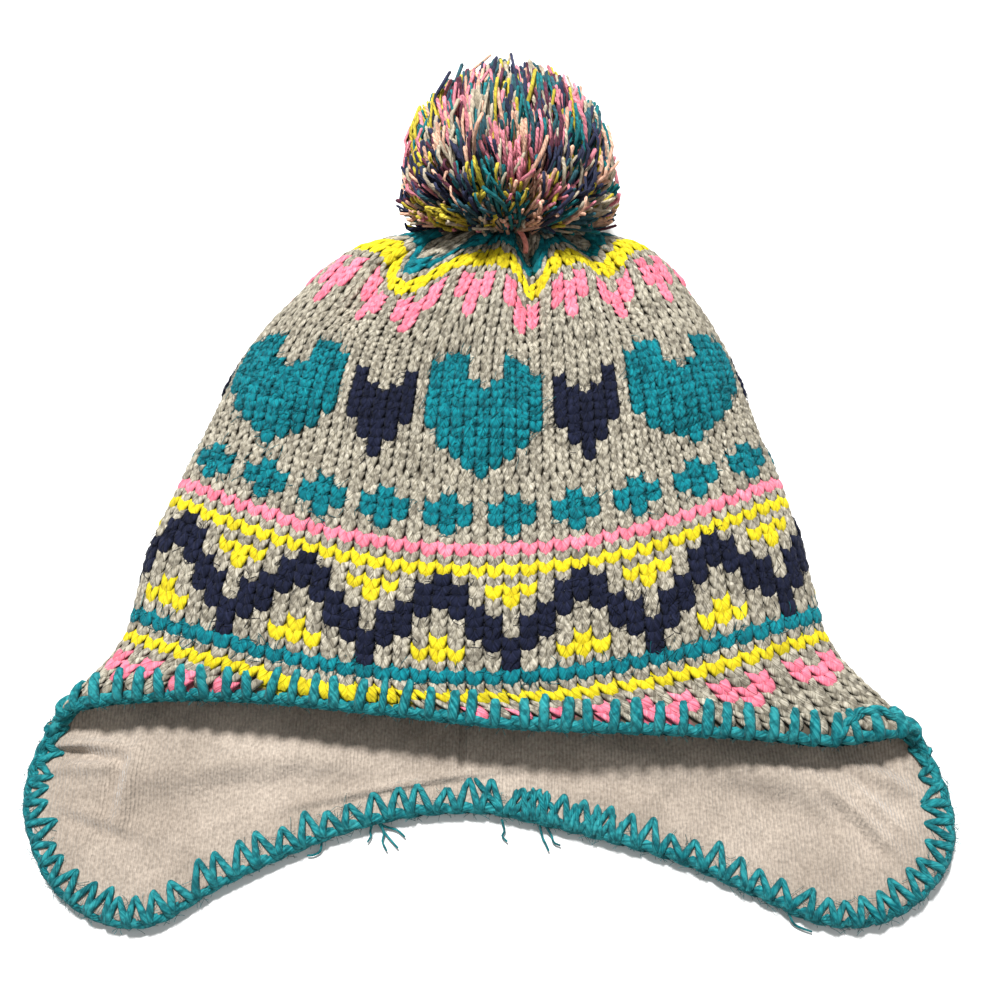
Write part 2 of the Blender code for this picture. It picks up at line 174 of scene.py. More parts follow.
Dent = namedtuple("Dent", "angle level half_angle half_level lift")
DENTS = (
    Dent(-30, 0.50, 26, 0.22, 0.035),
    Dent(34, 0.56, 24, 0.20, -0.040),
    Dent(-62, 0.86, 18, 0.16, 0.050),
    Dent(4, 0.90, 26, 0.14, -0.030),
    Dent(66, 0.84, 16, 0.16, 0.040),
)

# How far the crown's gathers pull the courses down, in metres: in full above the level
# full, and not at all below the level none.
Sag = namedtuple("Sag", "angle half_angle shift full none")
SAGS = (
    Sag(-42, 18, 9.5 * MM, 0.16, 0.40),
    Sag(-34, 19, 6.0 * MM, 0.28, 0.46),
    Sag(-10, 18, -3.5 * MM, 0.18, 0.36),
    Sag(13, 9, 3.0 * MM, 0.18, 0.36),
    Sag(17, 12, 6.5 * MM, 0.34, 0.52),
    Sag(52, 15, 4.5 * MM, 0.18, 0.36),
)


class YarnColour(Enum):
    """Yarns of the chart, by their letter."""

    GREY = "."
    TEAL = "T"
    NAVY = "N"
    YELLOW = "Y"
    PINK = "P"


# Repeats of the colourwork. row: course of the first line, 0 at the pink line.
# repeat: stitches from one motif to the next, start: stitch of the line's first letter.
Motif = namedtuple("Motif", "row repeat start lines")
CHART = (
    Motif(-35, 2, 0, ("T.", "TT")),
    Motif(-32, 1, 0, ("Y", "Y")),
    Motif(-29, 4, 1, ("P.P", "PPP", "PPP", ".P.", ".P.")),
    Motif(
        -20,
        16,
        -4,
        (
            ".TT...TT.",
            "TTT...TTT",
            "TTT...TTT",
            "TTTT.TTTT",
            "TTTTTTTTT",
            "TTTTTTTTT",
            "TTTTTTTTT",
            "TTTTTTTTT",
            ".TTTTTTT.",
            ".TTTTTTT.",
            "..TTTTT..",
            "...TTT...",
            "....T....",
        ),
    ),
    Motif(
        -18,
        16,
        6,
        (
            "N...N",
            "N...N",
            "NN.NN",
            "NNNNN",
            "NNNNN",
            "NNNNN",
            ".NNN.",
            ".NNN.",
            "..N..",
            "..N..",
        ),
    ),
    Motif(-5, 4, 1, (".T.", "TTT", "TTT", ".T.")),
    Motif(0, 1, 0, ("P",)),
    Motif(2, 1, 0, ("Y",)),
    Motif(
        3,
        8,
        -2,
        (
            "N.......",
            "NN.YYY.N",
            "NN..Y..N",
            ".NN...NN",
            "..NN.NN.",
            "..NN.NN.",
            "Y..NNN..",
            "YY..N..Y",
            "....N...",
        ),
    ),
    Motif(12, 1, 0, ("T",)),
    Motif(14, 1, 0, ("Y",)),
    Motif(16, 4, -1, ("P.P", "PPP", ".P.")),
)

# Zones of the knitting: rows from first on, stitches round the hat, and how much
# narrower the stitches of the upper layer's middle are.
Zone = namedtuple("Zone", "first stitches crowd")
ZONES = (
    Zone(-38, 20, 0.0),
    Zone(-36, 36, 0.0),
    Zone(-33, 56, 0.0),
    Zone(-30, 72, 0.0),
    Zone(-23, 80, 1.95),
    Zone(-7, 80, 0.5),
    Zone(15, 72, 0.0),
)
LAST_ROW = 46


@dataclass(frozen=True)
class YarnFinish:
    """Looks of one yarn.

    Colours are linear red, green and blue. plies is the number of plies round the yarn,
    lay the length of one turn in metres, and fuzz the strength of the soft sheen.
    """

    name: str
    colour: tuple
    light: tuple
    dark: tuple
    fleck: float
    plies: float
    lay: float
    fuzz: float
    roughness: float


GREY_YARN = YarnFinish("yarn_grey", (0.256, 0.229, 0.168), (0.66, 0.615, 0.51), (0.070, 0.057, 0.040),
                       0.80, 2.0, 3.4 * MM, 0.04, 0.74)
TEAL_YARN = YarnFinish("yarn_teal", (0.001, 0.118, 0.150), (0.012, 0.32, 0.36), (0.001, 0.045, 0.066),
                       0.62, 2.0, 3.8 * MM, 0.04, 0.85)
NAVY_YARN = YarnFinish("yarn_navy", (0.005, 0.007, 0.019), (0.026, 0.030, 0.070), (0.001, 0.002, 0.005),
                       0.50, 2.0, 3.8 * MM, 0.03, 0.85)
YELLOW_YARN = YarnFinish("yarn_yellow", (0.66, 0.54, 0.008), (0.86, 0.77, 0.05), (0.40, 0.27, 0.004),
                         0.50, 2.0, 3.4 * MM, 0.04, 0.76)
PINK_YARN = YarnFinish("yarn_pink", (0.85, 0.17, 0.26), (0.98, 0.42, 0.47), (0.55, 0.07, 0.13),
                       0.50, 2.0, 3.4 * MM, 0.05, 0.76)
EDGING_YARN = YarnFinish("yarn_edging", (0.002, 0.145, 0.170), (0.050, 0.37, 0.385), (0.001, 0.042, 0.056),
                         0.80, 2.0, 5.5 * MM, 0.05, 0.85)

FINISHES = {
    YarnColour.GREY: GREY_YARN,
    YarnColour.TEAL: TEAL_YARN,
    YarnColour.NAVY: NAVY_YARN,
    YarnColour.YELLOW: YELLOW_YARN,
    YarnColour.PINK: PINK_YARN,
}

# How much fuller the brushed yarns of the motifs are than the grey one.
FULLNESS = {
    YarnColour.GREY: 1.0,
    YarnColour.TEAL: 1.26,
    YarnColour.NAVY: 1.22,
    YarnColour.YELLOW: 1.14,
    YarnColour.PINK: 1.18,
}

POMPOM_COLOURS = (
    ((0.86, 0.26, 0.33), 0.13),
    ((0.86, 0.47, 0.33), 0.15),
    ((0.012, 0.17, 0.19), 0.14),
    ((0.03, 0.10, 0.13), 0.10),
    ((0.028, 0.034, 0.075), 0.13),
    ((0.62, 0.50, 0.05), 0.13),
    ((0.50, 0.43, 0.32), 0.15),
    ((0.12, 0.035, 0.06), 0.07),
)


def smooth_bump(distance: np.ndarray) -> np.ndarray:
    """Return 1 at 0, falling smoothly to 0 at 1 either way."""
    near = np.clip(1.0 - np.abs(distance), 0.0, 1.0)
    return near * near * (3.0 - 2.0 * near)


def smooth_step(value: np.ndarray, low: float, high: float) -> np.ndarray:
    """Return a smooth rise from 0 at low to 1 at high."""
    t = np.clip((value - low) / (high - low), 0.0, 1.0)
    return t * t * (3.0 - 2.0 * t)


def through_rows(places: Sequence, values: Sequence, at) -> np.ndarray:
    """Read a smooth curve through a table's rows."""
    places = np.asarray(places, float)
    values = np.asarray(values, float)
    slopes = np.gradient(values, places)
    row = np.clip(np.searchsorted(places, at, side="right") - 1, 0, len(places) - 2)
    width = places[row + 1] - places[row]
    t = (at - places[row]) / width
    return (
        values[row] * (2 * t**3 - 3 * t**2 + 1)
        + values[row + 1] * (3 * t**2 - 2 * t**3)
        + width * slopes[row] * (t**3 - 2 * t**2 + t)
        + width * slopes[row + 1] * (t**3 - t**2)
    )


def unit(vectors: np.ndarray) -> np.ndarray:
    """Scale each vector along the last axis to a length of 1."""
    size = np.linalg.norm(vectors, axis=-1, keepdims=True)
    return vectors / np.maximum(size, 1e-12)


def half_turned(angles: np.ndarray) -> np.ndarray:
    """Bring angles in degrees into the range from -180 to 180."""
    return (np.asarray(angles, float) + 180.0) % 360.0 - 180.0


class HatSurface:
    """The lofted surface that every layer of the hat follows."""

    def __init__(self, sizes: HatSizes) -> None:
        """Keep the sizes and read the tables into arrays.

        Args:
            sizes: the hat's sizes.
        """
        self.sizes = sizes
        self.last = SECTIONS[-1].level
        self.levels = [row.level for row in SECTIONS]
        self.columns = list(zip(*[row[1:] for row in SECTIONS]))
        before = [row._replace(angle=row.angle - 360) for row in RIM[-3:]]
        after = [row._replace(angle=row.angle + 360) for row in RIM[:3]]
        self.rim_rows = before + list(RIM) + after

    def section_outline(self, level: float, steps: int = 180) -> np.ndarray:
        """Points round one cross-section, from the back middle by the left fold."""
        size = self.sizes
        row = Section(level, *[float(through_rows(self.levels, c, level)) for c in self.columns])
        even = np.linspace(0.0, 1.0, steps + 1)
        out = 1.0 - (1.0 - even) ** 2
        over = np.sqrt(np.maximum(0.0, 1.0 - out**row.arch))
        under = np.minimum(1.0, 1.02 * np.sqrt(np.maximum(0.0, 1.0 - out**UNDERSIDE_ARCH)))
        top = row.fold + (row.top - row.fold) * over
        bottom = row.fold - (row.fold - row.base) * under
        upper = row.side + (row.front - row.side) * (1.0 - out**2)
        lower = row.side + (row.back - row.side) * (1.0 - out**2)
        share = np.concatenate([-out, -out[-2::-1], out[1:], out[-2::-1]])
        down = np.concatenate([lower, upper[-2::-1], upper[1:], lower[-2::-1]])
        height = np.concatenate([bottom, top[-2::-1], top[1:], bottom[-2::-1]])
        x = size.half_width * (row.centre + row.width * share)
        y = size.crown_tip_y - size.front_length * down
        return np.stack([x, y, size.laid_height * height], axis=1)

    def section_points(self, level: float, angles: np.ndarray) -> np.ndarray:
        """Points of a cross-section at equal lengths of knitting round each side."""
        outline = self.section_outline(level)
        steps = np.linalg.norm(np.diff(outline, axis=0), axis=1)
        length = np.concatenate([[0.0], np.cumsum(steps)])
        middle = length[len(outline) // 2]
        turned = half_turned(angles)
        left = middle + turned / 180.0 * middle
        right = middle + turned / 180.0 * (length[-1] - middle)
        target = np.where(turned < 0.0, left, right)
        return np.stack([np.interp(target, length, outline[:, k]) for k in range(3)], axis=1)

    def rim_column(self, name: str, angles: np.ndarray) -> np.ndarray:
        """One column of the rim table, read smoothly at any angle."""
        places = [row.angle for row in self.rim_rows]
        values = [getattr(row, name) for row in self.rim_rows]
        return through_rows(places, values, np.asarray(angles, float) % 360.0)

    def rim_line(self, angles: np.ndarray) -> np.ndarray:
        """Points of the rim's outermost line."""
        size = self.sizes
        x = size.flap_span * self.rim_column("span", angles)
        y = size.crown_tip_y - size.front_length
        y = y - size.back_extra * self.rim_column("back", angles)
        y = y - size.flap_drop * self.rim_column("drop", angles)
        z = size.laid_height * self.rim_column("lift", angles)
        return np.stack([x, y, np.maximum(z, 0.0)], axis=1)

    def rim_frame(self, angles: np.ndarray) -> tuple:
        """Inward normal, and the way out of the hat along the wall, round the rim."""
        angles = np.asarray(angles, float)
        along = unit(self.rim_line(angles + 1.0) - self.rim_line(angles - 1.0))
        facing = np.radians(self.rim_column("facing", angles))
        side = np.where(half_turned(angles) < 0.0, 1.0, -1.0)
        inward = np.stack([side * np.sin(facing), 0.0 * facing, -np.cos(facing)], axis=1)
        inward = unit(inward - along * np.sum(inward * along, axis=1, keepdims=True))
        return inward, -np.cross(along, inward)

    def base(self, angles: np.ndarray, level: float, inset: float) -> np.ndarray:
        """Points of the outer surface before its gathers, ending short of the rim."""
        angles = np.asarray(angles, float)
        if level <= self.last:
            points = self.section_points(level, angles)
        else:
            start = self.section_points(self.last, angles)
            heading = unit(start - self.section_points(self.last - 0.03, angles))
            end = self.rim_line(angles) - self.rim_frame(angles)[1] * inset
            chord = end - start
            heading = heading * np.linalg.norm(chord, axis=1, keepdims=True)
            t = (level - self.last) / (1.0 - self.last)
            points = (
                start
                + chord * (3 * t**2 - 2 * t**3)
                + heading * (t**3 - 2 * t**2 + t)
                + chord * (t**3 - t**2)
            )
        turned = half_turned(angles)
        for dent in DENTS:
            reach = smooth_bump((turned - dent.angle) / dent.half_angle)
            reach = reach * smooth_bump((level - dent.level) / dent.half_level)
            points[:, 2] += self.sizes.laid_height * dent.lift * reach
        points[:, 2] = np.maximum(points[:, 2], 0.0)
        return points

    def section_normals(self, angles: np.ndarray, level: float) -> np.ndarray:
        """Unit normals at a cross-section, pointing into the hat."""
        step = 0.01
        across = self.section_points(level, angles + 0.6) - self.section_points(level, angles - 0.6)
        lower = max(level, step)
        along = self.section_points(lower, angles) - self.section_points(lower - step, angles)
        return unit(np.cross(across, along))

    def inward(self, angles: np.ndarray, level: float) -> np.ndarray:
        """Unit normals that the layers are stacked along."""
        if level <= self.last:
            return self.section_normals(angles, level)
        t = (level - self.last) / (1.0 - self.last)
        blend = t * t * (3.0 - 2.0 * t)
        start = self.section_normals(angles, self.last)
        return unit(start * (1.0 - blend) + self.rim_frame(angles)[0] * blend)

    def squeezed(self, angles: np.ndarray, level: float) -> np.ndarray:
        """Share of its thickness that the cloth keeps at the flaps' corners."""
        size = self.sizes
        near = smooth_bump((np.abs(half_turned(angles)) - size.squeeze_angle) / size.squeeze_half_angle)
        reach = min(1.0, max(0.0, (level - size.squeeze_start) / (0.9 - size.squeeze_start)))
        return 1.0 - size.squeeze * near * reach

    def gathered(self, angles: np.ndarray, level: float) -> np.ndarray:
        """How far the crown's gathers press the outside in."""
        turned = half_turned(angles)
        depth = np.zeros(len(turned))
        depth -= self.sizes.fullness * math.sin(math.pi * min(1.0, max(0.0, level - 0.02) / 0.34)) ** 0.7
        for gather in GATHERS:
            along = (level - gather.start) / (gather.end - gather.start)
            if not 0.0 < along < 1.0:
                continue
            away = half_turned(turned - gather.angle - gather.turn * along)
            fade = math.sin(math.pi * along) ** 0.6
            pressed = self.sizes.knit_wall * (gather.depth * 1.1) + self.sizes.fullness
            depth += pressed * fade * smooth_bump(away / gather.half_angle)
        return depth

    def layer(self, angles: np.ndarray, level: float, cloth: float, gaps: float) -> np.ndarray:
        """Points below a thickness of cloth and a number of gaps."""
        points = self.base(angles, level, self.sizes.tucked)
        moved = cloth * self.squeezed(angles, level) + gaps * self.sizes.gap
        return points + self.inward(angles, level) * moved[:, None]


class KnitField:
    """Maps stitch columns and courses onto the hat's outer surface."""

    STEP = 0.5 * MM

    def __init__(self, surface: HatSurface) -> None:
        """Sample the surface and measure its courses.

        Args:
            surface: the hat's surface.
        """
        self.surface = surface
        self.angles = np.linspace(-180.0, 180.0, 721)
        levels = np.linspace(0.004, 1.0, 260)
        inset = surface.sizes.edging_width * 0.4
        points, inward = [], []
        for level in levels:
            ring = surface.base(self.angles, level, inset)
            normal = surface.inward(self.angles, level)
            pressed = np.where(ring[:, 2] < surface.sizes.gap, 0.0, surface.gathered(self.angles, level))
            points.append(ring + normal * pressed[:, None])
            inward.append(normal)
        points = np.array(points)
        outward = -np.array(inward)
        shaped = unit(np.cross(np.gradient(points, axis=0), np.gradient(points, axis=1)))
        shaped = np.where(np.sum(shaped * outward, axis=2, keepdims=True) < 0.0, -shaped, shaped)
        blend = smooth_step(levels, 0.45, 0.65)[:, None, None]
        normals = unit(shaped * (1.0 - blend) + outward * blend)
        centre = len(self.angles) // 2
        front = np.linalg.norm(np.diff(points[:, centre], axis=0), axis=1)
        front = np.concatenate([[0.0], np.cumsum(front)])
        zero = np.interp(0.66, levels, front)
        turned = self.angles
        course = np.repeat((front - zero)[:, None], len(turned), axis=1)
        for row in SAGS:
            pulled = row.shift * smooth_bump((turned - row.angle) / row.half_angle)
            fade = 1.0 - smooth_step(levels, row.full, row.none)
            course -= pulled[None, :] * fade[:, None]
        body = levels <= surface.last
        edge = int(np.sum(body)) - 1
        steps = np.linalg.norm(np.diff(points, axis=0), axis=2)
        for row in range(edge + 1, len(levels)):
            course[row] = course[row - 1] + steps[row - 1]
        self.low = -0.114
        self.count = int(0.26 / self.STEP)
        courses = self.low + np.arange(self.count) * self.STEP
        self.points = np.zeros((len(turned), self.count, 3))
        self.normals = np.zeros((len(turned), self.count, 3))
        self.rim_course = course[-1]
        for index in range(len(turned)):
            line = np.maximum.accumulate(course[:, index] + np.arange(len(levels)) * 1e-9)
            for axis in range(3):
                self.points[index, :, axis] = np.interp(courses, line, points[:, index, axis])
                self.normals[index, :, axis] = np.interp(courses, line, normals[:, index, axis])
        self.normals = unit(self.normals)

    def place(self, angle: np.ndarray, course: np.ndarray, lift: np.ndarray) -> np.ndarray:
        """Return points at an angle in degrees and a course in metres, lifted outwards."""
        across = (half_turned(angle) + 180.0) / 0.5
        along = (course - self.low) / self.STEP
        i = np.clip(across.astype(int), 0, len(self.angles) - 2)
        j = np.clip(along.astype(int), 0, self.count - 2)
        fi = (across - i)[..., None]
        fj = np.clip(along - j, 0.0, 1.0)[..., None]

        def read(grid: np.ndarray) -> np.ndarray:
            low = grid[i, j] * (1 - fj) + grid[i, j + 1] * fj
            high = grid[i + 1, j] * (1 - fj) + grid[i + 1, j + 1] * fj
            return low * (1 - fi) + high * fi

        return read(self.points) + unit(read(self.normals)) * lift[..., None]

    def ends_at(self, angle: np.ndarray) -> np.ndarray:
        """Course of the rim at an angle."""
        return np.interp(half_turned(angle), self.angles, self.rim_course)


def stitch_angle(column: np.ndarray, stitches: float, crowd: np.ndarray) -> np.ndarray:
    """Angle in degrees of a stitch column."""
    density = stitches / 360.0
    angle = column / density
    for _ in range(6):
        error = density * angle + crowd * np.sin(np.radians(angle)) - column
        slope = density + crowd * np.cos(np.radians(angle)) * math.pi / 180.0
        angle = angle - error / slope
    return angle


def charted_colour(row: int, column: int) -> YarnColour:
    """Yarn of one stitch of the chart."""
    for motif in CHART:
        line = row - motif.row
        if 0 <= line < len(motif.lines):
            place = (column - motif.start) % motif.repeat
            if place < len(motif.lines[line]):
                letter = motif.lines[line][place]
                if letter != YarnColour.GREY.value:
                    return YarnColour(letter)
    return YarnColour.GREY


def mesh_from_arrays(
    name: str,
    vertices: np.ndarray,
    faces: np.ndarray,
    material: bpy.types.Material,
    uvs: Optional[np.ndarray] = None,
    values: Optional[dict] = None,
) -> bpy.types.Object:
    """Make an object from arrays of vertices and quads.

    Args:
        name: the piece's name.
        vertices: points, one a row, in metres.
        faces: four vertex numbers a row.
        material: the piece's material.
        uvs: a pair of texture coordinates for each vertex, if any.
        values: numbers or colours kept as attributes of the vertices, by name.

    Returns:
        The new object, at the origin.
    """
    data = bpy.data.meshes.new(name)
    data.vertices.add(len(vertices))
    data.vertices.foreach_set("co", np.ascontiguousarray(vertices, dtype=np.float32).ravel())
    count = len(faces)
    data.loops.add(count * 4)
    data.loops.foreach_set("vertex_index", np.ascontiguousarray(faces, dtype=np.int32).ravel())
    data.polygons.add(count)
    data.polygons.foreach_set("loop_start", np.arange(0, count * 4, 4, dtype=np.int32))
    data.polygons.foreach_set("use_smooth", np.ones(count, dtype=bool))
    if uvs is not None:
        layer = data.uv_layers.new(name="yarn")
        layer.data.foreach_set("uv", uvs[faces.ravel()].astype(np.float32).ravel())
    for key, array in (values or {}).items():
        if array.ndim == 1:
            data.attributes.new(key, "FLOAT", "POINT").data.foreach_set("value", array.astype(np.float32))
        else:
            rgba = np.concatenate([array, np.ones((len(array), 1))], axis=1)
            attribute = data.attributes.new(key, "FLOAT_COLOR", "POINT")
            attribute.data.foreach_set("color", rgba.astype(np.float32).ravel())
    data.update()
    data.validate()
    data.materials.append(material)
    thing = bpy.data.objects.new(name, data)
    bpy.context.scene.collection.objects.link(thing)
    return thing


def register(thing: bpy.types.Object, node: str) -> bpy.types.Object:
    """Tie a piece to its body and hide the node that it stands for."""
    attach(thing, BODY)
    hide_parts(node)
    LOG.info("%s: %d faces", thing.name, len(thing.data.polygons))
    return thing


def tube_faces(rings: int, sides: int, count: int) -> np.ndarray:
    """Quads of many open tubes whose vertices lie ring after ring."""
    ring = np.arange(rings - 1)[:, None] * sides
    side = np.arange(sides)[None, :]
    after = (side + 1) % sides
    one = np.stack([ring + side, ring + after, ring + sides + after, ring + sides + side], axis=-1)
    one = one.reshape(-1, 4)
    offset = np.arange(count)[:, None, None] * rings * sides
    return (one[None] + offset).reshape(-1, 4)


def sweep(paths: np.ndarray, radii: np.ndarray, sides: int, up: np.ndarray, flat: float = 1.0) -> tuple:
    """Sweep a round yarn along many paths of the same number of points.

    Args:
        paths: array of paths, points and coordinates.
        radii: array of paths and points.
        sides: sides of each tube.
        up: a direction for each path or point that the tube's flat side looks along.
        flat: thickness along up as a share of the width.

    Returns:
        Vertices, quads and texture coordinates in metres along and turns round.
    """
    tangent = unit(np.gradient(paths, axis=1))
    side = unit(np.cross(tangent, up))
    top = np.cross(side, tangent)
    turn = np.arange(sides) * 2.0 * math.pi / sides
    across = np.cos(turn)[None, None, :, None] * side[:, :, None, :]
    upward = np.sin(turn)[None, None, :, None] * top[:, :, None, :] * flat
    vertices = paths[:, :, None, :] + (across + upward) * radii[:, :, None, None]
    step = np.linalg.norm(np.diff(paths, axis=1), axis=2)
    length = np.concatenate([np.zeros((len(paths), 1)), np.cumsum(step, axis=1)], axis=1)
    around = np.abs(np.linspace(-1.0, 1.0, sides, endpoint=False))
    uvs = np.stack(np.broadcast_arrays(length[:, :, None], around[None, None, :]), axis=-1)
    faces = tube_faces(paths.shape[1], sides, len(paths))
    return vertices.reshape(-1, 3), faces, uvs.reshape(-1, 2)


class MaterialMaker:
    """Builds the procedural materials."""

    def __init__(self) -> None:
        """Make the shared group."""
        self.ply = self._ply_group()

    @staticmethod
    def _socket(group: bpy.types.NodeTree, name: str, kind: str, way: str, value=None) -> None:
        """Add a socket to a group."""
        item = group.interface.new_socket(name=name, in_out=way, socket_type=kind)
        if value is not None:
            item.default_value = value

    def _ply_group(self) -> bpy.types.NodeTree:
        """Shared group: plies and fibres of a yarn from its own texture map.

        Returns:
            The group, which gives a groove mask, used for the bump and for painted shade in the grooves, a
            fibre mask and a fleck mask.
        """
        group = bpy.data.node_groups.new("yarn_plies", "ShaderNodeTree")
        self._socket(group, "Lay", "NodeSocketFloat", "INPUT", 3.5 * MM)
        self._socket(group, "Plies", "NodeSocketFloat", "INPUT", 2.0)
        self._socket(group, "Groove", "NodeSocketFloat", "OUTPUT")
        self._socket(group, "Fibre", "NodeSocketFloat", "OUTPUT")
        self._socket(group, "Fleck", "NodeSocketFloat", "OUTPUT")
        nodes, links = group.nodes, group.links
        start = nodes.new("NodeGroupInput")
        end = nodes.new("NodeGroupOutput")
        uv = nodes.new("ShaderNodeUVMap")
        uv.uv_map = "yarn"
        split = nodes.new("ShaderNodeSeparateXYZ")
        links.new(uv.outputs["UV"], split.inputs[0])

        def maths(kind: str, first, second=None) -> bpy.types.NodeSocket:
            node = nodes.new("ShaderNodeMath")
            node.operation = kind
            for index, value in enumerate((first, second)):
                if value is None:
                    continue
                if isinstance(value, bpy.types.NodeSocket):
                    links.new(value, node.inputs[index])
                else:
                    node.inputs[index].default_value = value
            return node.outputs[0]

        turns = maths("DIVIDE", split.outputs[0], start.outputs["Lay"])
        wound = maths("ADD", turns, split.outputs[1])
        phase = maths("MULTIPLY", wound, start.outputs["Plies"])
        wave = maths("ABSOLUTE", maths("SINE", maths("MULTIPLY", phase, math.pi)))
        groove = maths("POWER", wave, 0.55)
        links.new(groove, end.inputs["Groove"])
        stretch = nodes.new("ShaderNodeCombineXYZ")
        links.new(maths("MULTIPLY", split.outputs[0], 150.0), stretch.inputs[0])
        links.new(maths("MULTIPLY", wound, 7.0), stretch.inputs[1])
        place = nodes.new("ShaderNodeTexCoord")
        shift = nodes.new("ShaderNodeVectorMath")
        shift.operation = "SCALE"
        shift.inputs["Scale"].default_value = 45.0
        links.new(place.outputs["Object"], shift.inputs[0])
        add = nodes.new("ShaderNodeVectorMath")
        add.operation = "ADD"
        links.new(stretch.outputs[0], add.inputs[0])
        links.new(shift.outputs[0], add.inputs[1])
        fibre = nodes.new("ShaderNodeTexNoise")
        fibre.inputs["Scale"].default_value = 1.0
        fibre.inputs["Detail"].default_value = 3.0
        links.new(add.outputs[0], fibre.inputs["Vector"])
        links.new(fibre.outputs["Fac"], end.inputs["Fibre"])
        fleck = nodes.new("ShaderNodeTexNoise")
        fleck.inputs["Scale"].default_value = 620.0
        fleck.inputs["Detail"].default_value = 2.0
        links.new(place.outputs["Object"], fleck.inputs["Vector"])
        links.new(fleck.outputs["Fac"], end.inputs["Fleck"])
        return group

    def _start(self, name: str) -> tuple:
        """Start a material and return it with its nodes, links and shader."""
        material = bpy.data.materials.new(name)
        material.use_nodes = True
        nodes = material.node_tree.nodes
        return material, nodes, material.node_tree.links, nodes["Principled BSDF"]

    @staticmethod
    def _mix(nodes, links, factor, first, second, kind: str = "MIX"):
        """Mix two colours and return the output socket."""
        node = nodes.new("ShaderNodeMix")
        node.data_type = "RGBA"
        node.blend_type = kind
        for socket, value in zip((node.inputs[0], node.inputs[6], node.inputs[7]), (factor, first, second)):
            if isinstance(value, bpy.types.NodeSocket):
                links.new(value, socket)
            elif isinstance(value, tuple):
                socket.default_value = (*value, 1.0)
            else:
                socket.default_value = value
        return node.outputs[2]

    @staticmethod
    def _ramp(nodes, links, value, low: float, high: float):
        """Stretch a value between two limits to 0 and 1."""
        node = nodes.new("ShaderNodeMapRange")
        node.inputs["From Min"].default_value = low
        node.inputs["From Max"].default_value = high
        links.new(value, node.inputs["Value"])
        return node.outputs["Result"]

    def yarn(self, finish: YarnFinish, attribute: Optional[str] = None) -> bpy.types.Material:
        """Make a yarn's material.

        Args:
            finish: the yarn's looks.
            attribute: a colour attribute that takes the place of the yarn's colour.

        Returns:
            The material.
        """
        material, nodes, links, shader = self._start(finish.name)
        ply = nodes.new("ShaderNodeGroup")
        ply.node_tree = self.ply
        ply.inputs["Lay"].default_value = finish.lay
        ply.inputs["Plies"].default_value = finish.plies
        tone = nodes.new("ShaderNodeAttribute")
        tone.attribute_name = "tone"
        base = finish.colour
        if attribute:
            read = nodes.new("ShaderNodeAttribute")
            read.attribute_name = attribute
            base = read.outputs["Color"]
        flecked = self._ramp(nodes, links, ply.outputs["Fleck"], 0.42, 0.62)
        fibres = self._ramp(nodes, links, ply.outputs["Fibre"], 0.35, 0.68)
        light = nodes.new("ShaderNodeMath")
        light.operation = "MULTIPLY"
        links.new(fibres, light.inputs[0])
        light.inputs[1].default_value = finish.fleck
        dark = nodes.new("ShaderNodeMath")
        dark.operation = "MULTIPLY"
        links.new(flecked, dark.inputs[0])
        dark.inputs[1].default_value = finish.fleck * 0.8
        if attribute:
            first = self._mix(nodes, links, light.outputs[0], base, (0.9, 0.85, 0.8), "SOFT_LIGHT")
            second = self._mix(nodes, links, dark.outputs[0], first, (0.35, 0.33, 0.33), "MULTIPLY")
        else:
            first = self._mix(nodes, links, light.outputs[0], base, finish.light)
            second = self._mix(nodes, links, dark.outputs[0], first, finish.dark)
        # Painted shade: the colour is multiplied down to 0.72 in the grooves between the plies.
        groove = self._ramp(nodes, links, ply.outputs["Groove"], 0.0, 0.75)
        shade = self._mix(nodes, links, groove, (0.72, 0.70, 0.69), (1.0, 1.0, 1.0))
        third = self._mix(nodes, links, 1.0, second, shade, "MULTIPLY")
        # The tone attribute sets the colour's value: random tone, painted shade on the stitches' low ends and
        # the pompom's inner strands, and painted light on the edging's loose fibres.
        varied = nodes.new("ShaderNodeHueSaturation")
        links.new(third, varied.inputs["Color"])
        links.new(self._ramp_to(nodes, links, tone.outputs["Fac"], 0.40, 1.14), varied.inputs["Value"])
        links.new(varied.outputs["Color"], shader.inputs["Base Color"])
        shader.inputs["Roughness"].default_value = finish.roughness
        shader.inputs["Sheen Weight"].default_value = finish.fuzz
        shader.inputs["Sheen Roughness"].default_value = 0.45
        shader.inputs["Specular IOR Level"].default_value = 0.10
        height = nodes.new("ShaderNodeMath")
        height.operation = "MULTIPLY_ADD"
        links.new(ply.outputs["Fibre"], height.inputs[0])
        height.inputs[1].default_value = 1.6
        links.new(self._ramp_to(nodes, links, ply.outputs["Groove"], 0.0, 0.45), height.inputs[2])
        bump = nodes.new("ShaderNodeBump")
        bump.inputs["Strength"].default_value = 0.9
        bump.inputs["Distance"].default_value = 0.30 * MM
        links.new(height.outputs[0], bump.inputs["Height"])
        links.new(bump.outputs["Normal"], shader.inputs["Normal"])
        return material

    @staticmethod
    def _noise(nodes, links, scale: float):
        """Add a noise over the object and return its value."""
        place = nodes.new("ShaderNodeTexCoord")
        noise = nodes.new("ShaderNodeTexNoise")
        noise.inputs["Scale"].default_value = scale
        noise.inputs["Detail"].default_value = 3.0
        links.new(place.outputs["Object"], noise.inputs["Vector"])
        return noise.outputs["Fac"]

    @staticmethod
    def _ramp_to(nodes, links, value, low: float, high: float):
        """Stretch 0 to 1 between two results."""
        node = nodes.new("ShaderNodeMapRange")
        node.inputs["To Min"].default_value = low
        node.inputs["To Max"].default_value = high
        links.new(value, node.inputs["Value"])
        return node.outputs["Result"]

